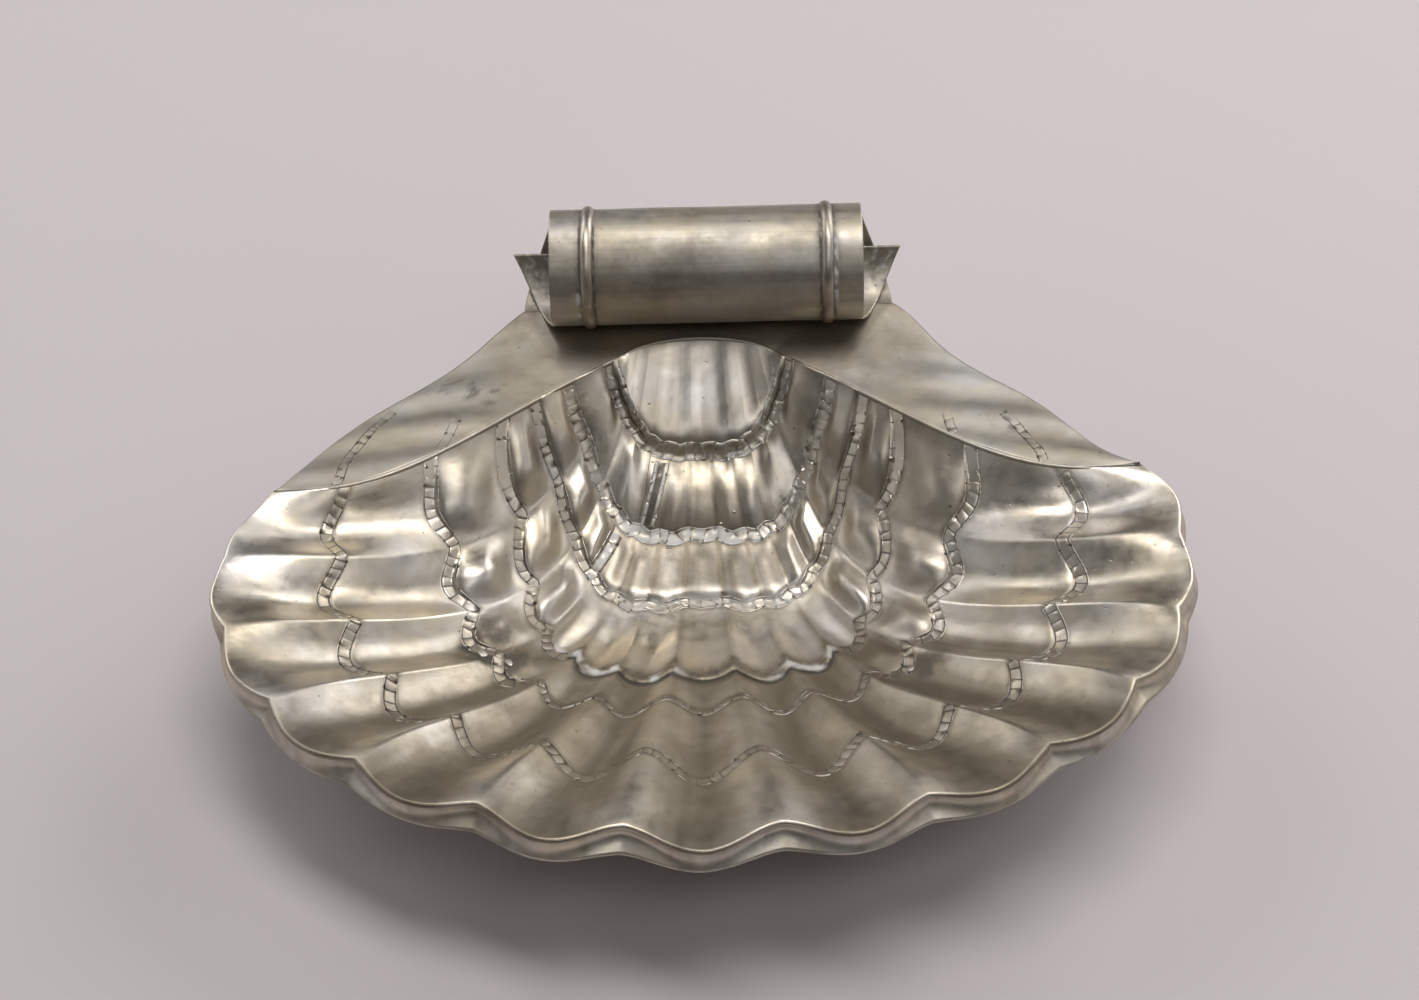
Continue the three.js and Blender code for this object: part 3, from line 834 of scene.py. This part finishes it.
def softened(line, arc, length):
    """A line with its corners rounded over a length."""
    even = np.linspace(0, arc[-1], len(arc))
    count = max(3, int(length / (arc[-1] / len(arc))) | 1)
    window = np.hanning(count + 2)[1:-1]
    window /= window.sum()
    soft = []
    for k in range(line.shape[1]):
        padded = np.pad(np.interp(even, arc, line[:, k]), count // 2, mode="reflect", reflect_type="odd")
        soft.append(np.interp(arc, even, np.convolve(padded, window, mode="valid")))
    return np.stack(soft, axis=1)


def follow(surface, path):
    """Samples of a path on a surface: its own measure, its length, and a metre's step sideways."""
    own = np.linspace(0, 1, 1600)
    u, v = path(own)
    line = surface(u, v)
    arc = np.concatenate([[0], np.cumsum(np.linalg.norm(np.diff(line, axis=0), axis=1))])
    step = 0.0015
    by_u = (surface(u + step, v) - surface(u - step, v)) / (2 * step)
    by_v = (surface(u, v + step) - surface(u, v - step)) / (2 * step)
    tangent = unit(np.gradient(softened(line, arc, TURN_LENGTH), axis=0))
    side = unit(np.cross(np.cross(by_u, by_v), tangent))
    side = side * np.sign((side * by_v).sum(axis=1).mean())
    uu, uv, vv = (by_u * by_u).sum(axis=1), (by_u * by_v).sum(axis=1), (by_v * by_v).sum(axis=1)
    us, vs = (by_u * side).sum(axis=1), (by_v * side).sum(axis=1)
    spread = uu * vv - uv * uv
    return own, arc, (vv * us - uv * vs) / spread, (uu * vs - uv * us) / spread


def strip(name, surface, path, half, dress, seed, finish):
    """A strip of small chased cells along a path, with half its width by place. dress gives its
    points and masks from a place on the surface, how far that is aside, with the strip's edges at
    -1 and 1, the share of the cell, how deep the nearest bar is, and the tilt of the cell."""
    rng = np.random.default_rng(seed)
    own, arc, side_u, side_v = follow(surface, path)
    stops, cell, number = [], [], []
    position = 0.0
    while position < arc[-1]:
        step = rng.uniform(*CELL_LENGTH)
        for share in CELL_STOPS:
            stops.append(position + share * step)
            cell.append(share)
            number.append(len(stops) // len(CELL_STOPS))
        position += step
    stops, cell, number = np.array(stops), np.array(cell), np.array(number)
    keep = stops <= arc[-1]
    stops, cell, number = stops[keep], cell[keep], number[keep]
    count = number.max() + 2
    slants = rng.uniform(-CELL_SLANT, CELL_SLANT, count)
    tilts = rng.uniform(-1, 1, (2, count))
    bars = np.clip(rng.uniform(0.25, 1.5, count + 1), 0, 1)
    slant = mix(slants[number], slants[np.minimum(number + 1, count - 1)], cell)
    rows = len(STRIP_ROWS) - 1

    def place(i, j):
        aside = STRIP_ROWS[rows - j]
        measure = np.interp(stops[i] + slant[i] * np.clip(aside, -1, 1), arc, own)
        u, v = path(measure)
        wide = aside * half(u)
        u = u + wide * np.interp(measure, own, side_u)
        v = v + wide * np.interp(measure, own, side_v)
        share = cell[i]
        bar = np.where(share < 0.5, bars[number[i]], bars[number[i] + 1])
        flat = smooth(np.minimum(share, 1 - share), 0.05, 0.12) * fade(np.abs(aside), 0.82, 0.93)
        leaning = tilts[0][number[i]] * (share - 0.5) * 2 + tilts[1][number[i]] * aside
        return dress(u, v, aside, share, bar, CELL_TILT * flat * leaning)

    from_grid(name, len(stops) - 1, rows, place, finish)


def growth_band(name, band, start, end, seed):
    """The chased strip of a band from one place across the fan to another."""

    def surface(across, along):
        return ground(np.clip(across, -1, 1), np.clip(along, 0, 1))[0]

    def path(measure):
        across = mix(start, end, measure)
        return across, band_place(band, across)

    def dress(across, along, aside, share, bar, tilt):
        across = np.clip(across, -1, 1)
        out = np.abs(aside)
        point, normal, pillow = raised(across, along)
        shown = band_shown(band, across)
        tin, fill = band_solder(band, across)
        rough = wobble(point, 420, seed)
        broken = wobble(point, 160, seed + 30)
        rung_line = fade(np.minimum(share, 1 - share), 0.045, 0.12) * bar
        edge_line = fade(np.abs(out - 1), 0.07, 0.20) * smooth(broken, -0.50, -0.25)
        line = np.maximum(rung_line * (out < 1.05) * 0.9, edge_line)
        beside = smooth(out, 1.08, 1.18) * fade(out, 1.2, 1.3)
        specks = beside * smooth(rough, 0.05, 0.2) * smooth(broken, -0.05, 0.2) * 0.8
        tinned = line * tin * smooth(rough, -0.25, 0.15) + fill * smooth(rough, -0.5, 0.1) + specks
        tinned = np.clip(tinned, 0, 1)
        relief = shown * (tilt - LINE_DEPTH * line + 0.0005 * tinned + 0.0002 * rough * fill)
        level = np.maximum(pillow, sheet_waver(point)) + 0.0001
        relief = np.where(out > STRIP_SKIRT, pillow - 0.0003, level + relief)
        # The film of patina and painted shade runs on over the outer bands.
        masks = {
            "film": (band > 2) * 0.7 * PLATES[band + 1]["patina"] * middle_of_fan(across),
            "hollow": 0.16 * shown,
            "groove": line * shown * (1 - tinned),
            "solder": tinned * shown,
            **rib_measures(across, along),
        }
        return point + normal * relief[:, None], masks

    def half(across):
        return STRIP * band_width(band, across)

    strip(name, surface, path, half, dress, seed, BOWL)


FAN_END = 0.999
growth_band("growth_band_1", 0, -FAN_END, FAN_END, 11)
growth_band("growth_band_2", 1, -FAN_END, FAN_END, 12)
growth_band("growth_band_3", 2, -FAN_END, FAN_END, 13)
growth_band("growth_band_4_left", 3, -FAN_END, -0.40, 14)
growth_band("growth_band_4_right", 3, 0.40, FAN_END, 15)
growth_band("growth_band_5", 4, -FAN_END, FAN_END, 16)
growth_band("growth_band_6", 5, -FAN_END, FAN_END, 17)

# Solder seams and drops


def solder_seam(name, ends, white, seed):
    """A seam between two pieces of a tier, from one place on an inner band to one further out."""
    (first_u, first_v), (last_u, last_v) = ends

    def surface(across, along):
        return ground(across, along)[0]

    def path(measure):
        return mix(first_u, last_u, measure), mix(first_v, last_v, measure)

    def dress(across, along, aside, share, bar, tilt):
        point, normal, pillow = raised(across, along)
        out = np.abs(aside)
        rough = wobble(point, 330, seed)
        fine = wobble(point, 900, seed + 1)
        inside = fade(out, 0.55, 0.8)
        rim = smooth(out, 0.6, 0.85) * fade(out, 1.05, 1.2)
        filled, edged = (inside, rim) if white else (rim, inside)
        tinned = np.clip(filled * smooth(rough + 0.5 * fine, -0.45, 0.05), 0, 1)
        relief = pillow + 0.00035 + 0.0006 * tinned * (1 + fine) - 0.0002 * edged
        relief = np.where(out > STRIP_SKIRT, pillow - 0.0004, relief)
        masks = {
            "hollow": 0.7 * edged,
            "groove": 0.75 * edged * (1 - tinned) * smooth(rough, -0.7, -0.1),
            "solder": tinned,
            **rib_measures(across, along),
        }
        return point + normal * relief[:, None], masks

    strip(name, surface, path, lambda across: SEAM, dress, seed, BOWL)


def add_drop(mesh, centre, normal, radius, height, seed):
    """A flat uneven drop that lies on the sheet."""
    turn = Vector(normal).to_track_quat("Z", "Y").to_matrix().to_4x4()
    made = bmesh.ops.create_icosphere(mesh, subdivisions=3, radius=1.0)["verts"]
    for vert in made:
        bulge = 1 + 0.25 * noise.noise(vert.co * 1.7 + Vector((seed, 0, 0)))
        vert.co = Vector((vert.co.x * radius * bulge, vert.co.y * radius * bulge * 0.75, vert.co.z * height))
        vert.co = Vector(centre) + turn @ vert.co


def solder_drops():
    mesh = bmesh.new()
    rng = np.random.default_rng(31)
    drops = list(SOLDER_DROPS)
    for band, low, high, count in STREWN_DROPS:
        for across in rng.uniform(low, high, count):
            aside = rng.uniform(-0.02, 0.02)
            along = float(band_place(band, np.array([across]))[0]) + aside
            drops.append((across, along, rng.uniform(0.0004, 0.0009), rng.uniform(0.0003, 0.0005)))
    places = np.array([drop[:2] for drop in drops])
    points, normals, pillows = raised(places[:, 0], places[:, 1])
    points = points + normals * np.maximum(pillows, 0)[:, None]
    for number, (drop, point, normal) in enumerate(zip(drops, points, normals)):
        add_drop(mesh, point, normal, drop[2], drop[3], 3.1 * number)
    finish_piece("solder_drops", mesh, {}, SOLDER)


solder_seam("tier_2_seam", ((-0.283, 0.142), (-0.330, 0.232)), False, 41)
solder_seam("tier_3_seam", ((-0.512, 0.255), (-0.558, 0.352)), True, 42)
solder_drops()

# Collar


def cubic(a, b, c, d, t):
    t = t[:, None]
    return (1 - t) ** 3 * a + 3 * (1 - t) ** 2 * t * b + 3 * (1 - t) * t * t * c + t**3 * d


def crest_point(around):
    """Along the crest from the left wing tip at -1, round the umbo, to the right one at 1."""
    side = np.abs(around)
    sign = np.where(around < 0, -1.0, 1.0)
    wing = base_point(sign, np.clip((side - UMBO_SHARE) / (1 - UMBO_SHARE), 0, 1))
    umbo = umbo_line(np.clip(around / UMBO_SHARE, -1, 1))
    return np.where((side < UMBO_SHARE)[:, None], umbo, wing)


def neck_point(reach):
    return stack(SCROLL_SHIFT + reach, NECK_Y - NECK_GAP, NECK_HEIGHT + SHEET)


def collar_outline(around):
    """The outer edge of the collar, from the left wing tip round the neck to the right one."""
    side = np.abs(around)
    t = np.clip(1 - (side - NECK_SHARE) / (1 - NECK_SHARE), 0, 1)
    line = np.where((side < NECK_SHARE)[:, None], neck_point(NECK_HALF_WIDTH * around / NECK_SHARE), 0)
    for sign, edge in COLLAR_EDGES.items():
        first = base_point(np.array([sign]), np.array([1.0]))[0]
        last = neck_point(sign * NECK_HALF_WIDTH)
        leaving = first + [-sign * edge["leave"][0], edge["leave"][1], -COLLAR_FALL]
        arriving = last + [sign * edge["arrive"][0], -edge["arrive"][1], -COLLAR_FALL]
        even = np.linspace(0, 1, 200)
        bend = cubic(first, leaving, arriving, last, even)
        onward = unit(np.gradient(bend, axis=0))
        wave = edge["waves"][0] * np.sin(2 * np.pi * even) + edge["waves"][1] * np.sin(3 * np.pi * even)
        bend = bend + sign * stack(onward[:, 1], -onward[:, 0], 0) * (wave * (1 - even))[:, None]
        placed = np.stack([np.interp(t, even, bend[:, k]) for k in range(3)], axis=1)
        line = np.where(((side >= NECK_SHARE) & (around * sign > 0))[:, None], placed, line)
    return line


def collar_surface(around, outward):
    share = outward[:, None]
    point = crest_point(around) * (1 - share) + collar_outline(around) * share
    between = np.sin(np.pi * np.clip(outward, 0, 1))
    window = between**0.6 * smooth(np.abs(around), 0.42, 0.62)
    waves = np.sin((point[:, 1] - UMBO_Y) * 2 * np.pi / COLLAR_PITCH + np.abs(point[:, 0]) * 14)
    point[:, 2] += COLLAR_WAVE * waves * window + COLLAR_SWELL * window
    point[:, 2] += 0.0004 * wobble(point, 30, 21) * between
    return point


def collar_masks(around, outward, point):
    """Marks on the collar: painted shade round the neck under the scroll and beside the crest, and dark
    scratched marks.
    """
    groove = np.zeros_like(around)
    scratched = smooth(wobble(point * [1.0, 2.2, 1.0], 190, 7), 0.12, 0.30)
    for *middle, strength in COLLAR_MARKS:
        mark = smooth(spot(around, outward, middle, (0.030, 0.10)), 0.1, 0.7)
        groove = np.maximum(groove, strength * scratched * mark)
    # Painted shade round the neck under the scroll, and beside the crest.
    neck = fade(np.abs(around), 0.36, 0.66) * smooth(outward, 0.10, 0.8)
    crest = 0.25 * fade(outward, 0.0, 0.10) * fade(np.abs(around), 0.5, 0.9)
    hollow = np.clip(0.45 * neck + crest + 0.3 * groove, 0, 1)
    return {"hollow": hollow, "groove": groove, "solder": 0 * around}


def collar():
    """The sheet behind the crest, from the fold out to its edge and the neck."""
    columns, rows = 300, 44

    def place(i, j):
        around, outward = 2 * i / columns - 1, j / rows
        point = collar_surface(around, outward)
        return point, collar_masks(around, outward, point)

    from_grid("collar_sheet", columns, rows, place, COLLAR, SHEET, "collar_plate")


def ladder(name, line, seed, faint=0.0):
    """Chased lines of a growth band that run on over the crest and up the collar."""
    line = np.array(line)
    top = line[:, 1].max()

    def surface(around, outward):
        return collar_surface(np.clip(around, -1, 1), np.clip(outward, 0, 1))

    def path(measure):
        known = np.linspace(0, 1, len(line))
        return np.interp(measure, known, line[:, 0]), np.interp(measure, known, line[:, 1])

    def dress(around, outward, aside, share, bar, tilt):
        around, outward = np.clip(around, -1, 1), np.clip(outward, 0.0, 1)
        out = np.abs(aside)
        point = surface(around, outward)
        broken = wobble(point, 160, seed + 30)
        end = fade(outward, top - 0.10, top)
        rung_line = fade(np.minimum(share, 1 - share), 0.03, 0.09) * 0.7 * smooth(bar, 0.6, 1.0)
        edge_line = fade(np.abs(out - 1), 0.06, 0.17) * smooth(broken, -0.6, -0.3)
        chased = np.maximum(rung_line * (out < 1.05), edge_line)
        groove = chased * mix(1.0, end, 0.7) * (1 - faint)
        lift = np.where(out > STRIP_SKIRT, -0.0003, 0.00012 - 0.0001 * groove + 0.2 * tilt)
        masks = collar_masks(around, outward, point)
        masks["groove"] = np.maximum(groove, masks["groove"])
        return point + np.array([0, 0, 1.0]) * lift[:, None], masks

    strip(name, surface, path, lambda around: LADDER, dress, seed, COLLAR)


def crest_fold():
    """The round edge where the sheet of the bowl folds back to the collar."""
    columns, rows = 300, 10
    step, sunk = 0.004, 0.0012

    def place(i, j):
        around = 2 * i / columns - 1
        before, after = crest_point(np.maximum(around - step, -1)), crest_point(np.minimum(around + step, 1))
        tangent = unit(after - before)
        side = unit(np.cross(np.array([0, 0, 1.0]), tangent))
        up = unit(np.cross(tangent, side))
        turn = 2 * np.pi * j / rows
        radius = FOLD_RADIUS * (1 - 0.9 * smooth(np.abs(around), 0.85, 1.0))
        centre = crest_point(around) - up * sunk
        return centre + side * (radius * np.cos(turn))[:, None] + up * (radius * np.sin(turn))[:, None], {}

    from_grid("crest_fold", columns, rows, place, COLLAR)


collar()
crest_fold()
# Each line is a list of places around the crest and outward from it
ladder("ladder_5_left", [(-0.637, 0.02), (-0.622, 0.10), (-0.606, 0.20), (-0.591, 0.31)], 51, 0.35)
left_line = [(-0.858, 0.02), (-0.851, 0.13), (-0.838, 0.33), (-0.822, 0.53), (-0.765, 0.76), (-0.715, 0.90)]
ladder("ladder_6_left", left_line, 52)
ladder("ladder_5_right", [(0.625, 0.02), (0.612, 0.10), (0.600, 0.22)], 53, 0.25)
ladder("ladder_6_right", [(0.805, 0.02), (0.792, 0.17), (0.760, 0.36), (0.725, 0.50), (0.696, 0.555)], 54)

# Scroll


def roll_radius(angle):
    return SCROLL_RADIUS - SCROLL_SHRINK * np.clip((angle - SHRINK_START) / (SCROLL_END - SHRINK_START), 0, 1)


def roll_half_length(angle):
    neck = (NECK_HALF_WIDTH - SCROLL_HALF_LENGTH) * fade(angle, SCROLL_START, 40)
    ear = SCROLL_EAR * np.clip((angle - EAR_START) / (SCROLL_END - EAR_START), 0, 1)
    return SCROLL_HALF_LENGTH + neck + ear


def roll_point(angle, radius, x):
    turn = np.radians(angle)
    return SCROLL_AXIS + stack(x, radius * np.cos(turn), radius * np.sin(turn))


def scroll_masks(angle, x, point):
    """Patina, painted shade and solder of the scroll: painted shade in front and at the neck, patina
    and painted shade beside the wires, and patchy patina on the ears."""
    # Painted shade on the front of the roll, where it faces the front.
    front = smooth(angle, 100, 125) * fade(angle, 160, 185)
    hollow = front * (0.26 + 0.06 * wobble(point, 28, 61))
    # Painted shade at the neck, under the roll.
    hollow = hollow + 0.5 * fade(angle, -60, 20)
    groove, solder = np.zeros_like(angle), np.zeros_like(angle)
    outer = (angle > -30) & (angle < 232)
    fine = wobble(point, 260, 62)
    for wire in WIRES:
        away = np.abs(x - wire) - WIRE_SIZE[0] / 2
        groove = groove + 0.85 * outer * fade(np.abs(away), 0.0002, 0.0011) * smooth(fine, -0.5, 0.1)
        # Patina and painted shade beside each wire.
        hollow = hollow + 0.45 * outer * fade(away, 0.0, 0.004)
    run = smooth(x - WIRES[1], 0.0028, 0.0034) * fade(x - WIRES[1], 0.0044, 0.0056)
    run = outer * run * smooth(angle, 105, 120) * fade(angle, 170, 195)
    solder = solder + run * smooth(fine, -0.35, 0.1)
    bead = bell(x - WIRES[0], -0.0045, 0.0014) * smooth(angle, 150, 170) * fade(angle, 200, 215)
    solder = solder + outer * bead * smooth(fine, -0.1, 0.2)
    end = smooth(np.abs(x), SCROLL_HALF_LENGTH - 0.004, SCROLL_HALF_LENGTH + 0.004)
    ear = smooth(angle, 262, 300) * end
    hollow = hollow + ear * (0.35 + 0.8 * np.maximum(fine, 0))
    solder = solder + 0.6 * ear * smooth(wobble(point, 420, 63), 0.18, 0.4)
    masks = {"hollow": hollow, "groove": groove, "solder": solder}
    return {name: np.clip(mask, 0, 1) for name, mask in masks.items()}


def scroll_sheet():
    """The neck's sheet, rolled up from below and over the top, with an ear at each end."""
    columns, rows = 230, 170

    def place(i, j):
        angle = mix(SCROLL_START, SCROLL_END, j / rows)
        x = roll_half_length(angle) * (2 * i / columns - 1)
        point = roll_point(angle, roll_radius(angle), x)
        dents = 0.00022 * wobble(point, 34, 64) * smooth(angle, -60, 0) * fade(angle, 300, SCROLL_END)
        return roll_point(angle, roll_radius(angle) - 0.0001 + dents, x), scroll_masks(angle, x, point)

    from_grid("scroll_sheet", columns, rows, place, SCROLL, SHEET, "scroll_roll")


def scroll_wire(name, x, size, node=None):
    """A half-round wire or a thin thread soldered round the roll."""
    columns, rows = 14, 110
    width, height = size

    def place(i, j):
        angle = mix(-20, 225, j / rows)
        turn = np.pi * i / columns
        sway = x + 0.0003 * np.sin(np.radians(angle) * 3 + 40 * x)
        radius = roll_radius(angle) - 0.0002 + height * np.sin(turn)
        point = roll_point(angle, radius, sway - width / 2 * np.cos(turn))
        low = 1 - np.sin(turn)
        # Patina, with painted shade on the flanks where the wire meets the roll.
        hollow = 0.18 + 0.5 * low**2 + 0.25 * wobble(point, 90, 65)
        return point, {"hollow": np.clip(hollow, 0, 1), "groove": 0.4 * low**4, "solder": np.zeros_like(low)}

    from_grid(name, columns, rows, place, RING, None, node)


scroll_sheet()
scroll_wire("scroll_wire_left", WIRES[0], WIRE_SIZE, "scroll_ring_left")
scroll_wire("scroll_wire_right", WIRES[1], WIRE_SIZE, "scroll_ring_right")
scroll_wire("scroll_thread_left", WIRES[0] + THREAD_AWAY, THREAD_SIZE)
scroll_wire("scroll_thread_right", WIRES[1] - THREAD_AWAY, THREAD_SIZE)

# Foot

FOOT_FLANGE = 0.005
FOOT_WALL = 0.0016
FOOT_TOP = 0.05  # past the bowl, which then sets where each place of the top edge ends
FOOT_COLUMNS = 288


def bowl_height(x, y):
    """The level of the bowl above places on the table."""
    across, along = np.meshgrid(np.linspace(-1, 1, 420), np.linspace(0, 0.95, 240))
    points, normals, pillows = raised(across.ravel(), along.ravel())
    points = points + normals * pillows[:, None]
    heights = []
    for place in zip(x, y):
        away = ((points[:, :2] - place) ** 2).sum(axis=1)
        near = np.argpartition(away, 6)[:6]
        weight = 1 / (away[near] + 1e-8)
        heights.append((points[near, 2] * weight).sum() / weight.sum())
    return np.array(heights)


def foot():
    """A flanged oval ring whose top ends in the sheet of the bowl."""
    half_width = (foot_high.x - foot_low.x) / 2
    stretch = (foot_high.y - foot_low.y) / 2 / half_width
    inner = half_width - FOOT_FLANGE
    mesh = bmesh.new()
    outline = [
        (inner, 0.0),
        (half_width, 0.0),
        (half_width, FOOT_WALL),
        (inner + FOOT_WALL, FOOT_WALL),
        (inner + FOOT_WALL, FOOT_TOP),
        (inner, FOOT_TOP),
    ]
    corners = [mesh.verts.new((r, 0, z)) for r, z in outline]
    edges = [mesh.edges.new((a, b)) for a, b in zip(corners, corners[1:] + corners[:1])]
    bmesh.ops.spin(
        mesh,
        geom=corners + edges,
        axis=(0, 0, 1),
        cent=(0, 0, 0),
        angle=2 * math.pi,
        steps=FOOT_COLUMNS,
        use_merge=True,
    )
    bmesh.ops.recalc_face_normals(mesh, faces=mesh.faces)
    for vert in mesh.verts:
        vert.co.y = vert.co.y * stretch + (foot_low.y + foot_high.y) / 2
    upper = [vert for vert in mesh.verts if vert.co.z > FOOT_TOP / 2]
    levels = bowl_height([vert.co.x for vert in upper], [vert.co.y for vert in upper])
    for vert, level in zip(upper, levels):
        vert.co.z = level - 0.6 * SHEET
    piece = finish_piece("foot_ring_soldered", mesh, {}, FOOT, None, "foot_ring")
    piece.data.set_sharp_from_angle(angle=math.radians(40))


foot()

# Floor, light and camera

PAPER_HALF_WIDTH = 9.0
PAPER_COLORS = ((0.583, 0.538, 0.542, 1), (0.609, 0.562, 0.568, 1))
WARM_WHITE = (1.0, 0.985, 0.965)
WORLD_STRENGTH = 0.055
DISH_MIDDLE = (0.0, 0.0, 0.05)
PANEL_TARGET = (0.0, 0.0, 0.08)
PANEL_SIZE = (1.7, 1.4)

# The camera that fits the photo: how far it is raised, turned and rolled, where it looks and from
# how far, with its focal length in pixels of the frame, and the frame's width
CAMERA_RAISED, CAMERA_TURNED, CAMERA_ROLLED = math.radians(45.93), math.radians(0.976), math.radians(2.043)
CAMERA_TARGET = (0.00405, 0.0096 + BACK, 0.050)
CAMERA_DISTANCE = 1.250
FOCAL_PIXELS, FRAME_PIXELS = 2600, 1419
SENSOR_WIDTH = 36.0


def floor():
    mesh = bmesh.new()
    bmesh.ops.create_grid(mesh, x_segments=1, y_segments=1, size=PAPER_HALF_WIDTH)
    data = bpy.data.meshes.new("table_paper")
    mesh.to_mesh(data)
    mesh.free()
    paper = bpy.data.materials.new("table_paper")
    paper.use_nodes = True
    t = Tree(paper.node_tree)
    shader = paper.node_tree.nodes["Principled BSDF"].inputs
    cloud = t.noise(t.add("ShaderNodeTexCoord").outputs["Object"], 2.5, 3.0, 0.5)
    t.feed(shader["Base Color"], t.blend(cloud, *PAPER_COLORS))
    shader["Roughness"].default_value = 0.9
    shader["Specular IOR Level"].default_value = 0.1
    data.materials.append(paper)
    sheet = bpy.data.objects.new("table_paper", data)
    bpy.context.scene.collection.objects.link(sheet)


def soft_lamp(name, place, target, size, brightness, color=(1, 1, 1)):
    """A soft box; a brightness of 1 shows as white in a mirror."""
    data = bpy.data.lights.new(name, "AREA")
    data.shape = "RECTANGLE"
    data.size, data.size_y = size
    data.energy = brightness * math.pi * size[0] * size[1]
    data.color = color
    lamp = bpy.data.objects.new(name, data)
    lamp.location = place
    lamp.visible_camera = False
    lamp.rotation_mode = "QUATERNION"
    lamp.rotation_quaternion = (Vector(target) - Vector(place)).to_track_quat("-Z", "Y")
    bpy.context.scene.collection.objects.link(lamp)


def studio():
    world = bpy.data.worlds.new("studio")
    world.use_nodes = True
    world.node_tree.nodes["Background"].inputs["Color"].default_value = (*WARM_WHITE, 1)
    world.node_tree.nodes["Background"].inputs["Strength"].default_value = WORLD_STRENGTH
    bpy.context.scene.world = world
    soft_lamp("key", (0.37, 0.62, 3.95), DISH_MIDDLE, (3.2, 1.33), 6.1, WARM_WHITE)
    soft_lamp("front_top", (0.38, -1.06, 1.82), DISH_MIDDLE, (1.5, 0.55), 1.85)
    for side in (-1, 1):
        soft_lamp("front_corner", (1.30 * side, -1.00, 1.25), DISH_MIDDLE, (0.9, 0.8), 0.28)
        soft_lamp("side", (1.75 * side, -0.10, 0.90), DISH_MIDDLE, (1.4, 0.8), 0.75 + 0.10 * side)
    soft_lamp("right_panel", (1.5, 1.5, 1.3), PANEL_TARGET, PANEL_SIZE, 3.2)
    soft_lamp("left_panel", (-1.5, 1.5, 1.3), PANEL_TARGET, PANEL_SIZE, 2.1)


def photo_camera():
    level, high = math.cos(CAMERA_RAISED), math.sin(CAMERA_RAISED)
    back = Vector((math.sin(CAMERA_TURNED) * level, -math.cos(CAMERA_TURNED) * level, high))
    right = (-back).cross(Vector((0, 0, 1))).normalized()
    up = right.cross(-back)
    right, up = (
        right * math.cos(CAMERA_ROLLED) - up * math.sin(CAMERA_ROLLED),
        right * math.sin(CAMERA_ROLLED) + up * math.cos(CAMERA_ROLLED),
    )
    data = bpy.data.cameras.new("photo_camera")
    data.sensor_width = SENSOR_WIDTH
    data.lens = SENSOR_WIDTH * FOCAL_PIXELS / FRAME_PIXELS
    camera = bpy.data.objects.new("photo_camera", data)
    place = Matrix((right, up, back)).transposed().to_4x4()
    place.translation = Vector(CAMERA_TARGET) + back * CAMERA_DISTANCE
    camera.matrix_world = place
    bpy.context.scene.collection.objects.link(camera)
    bpy.context.scene.camera = camera


floor()
studio()
photo_camera()
bpy.context.scene.view_settings.view_transform = "Standard"
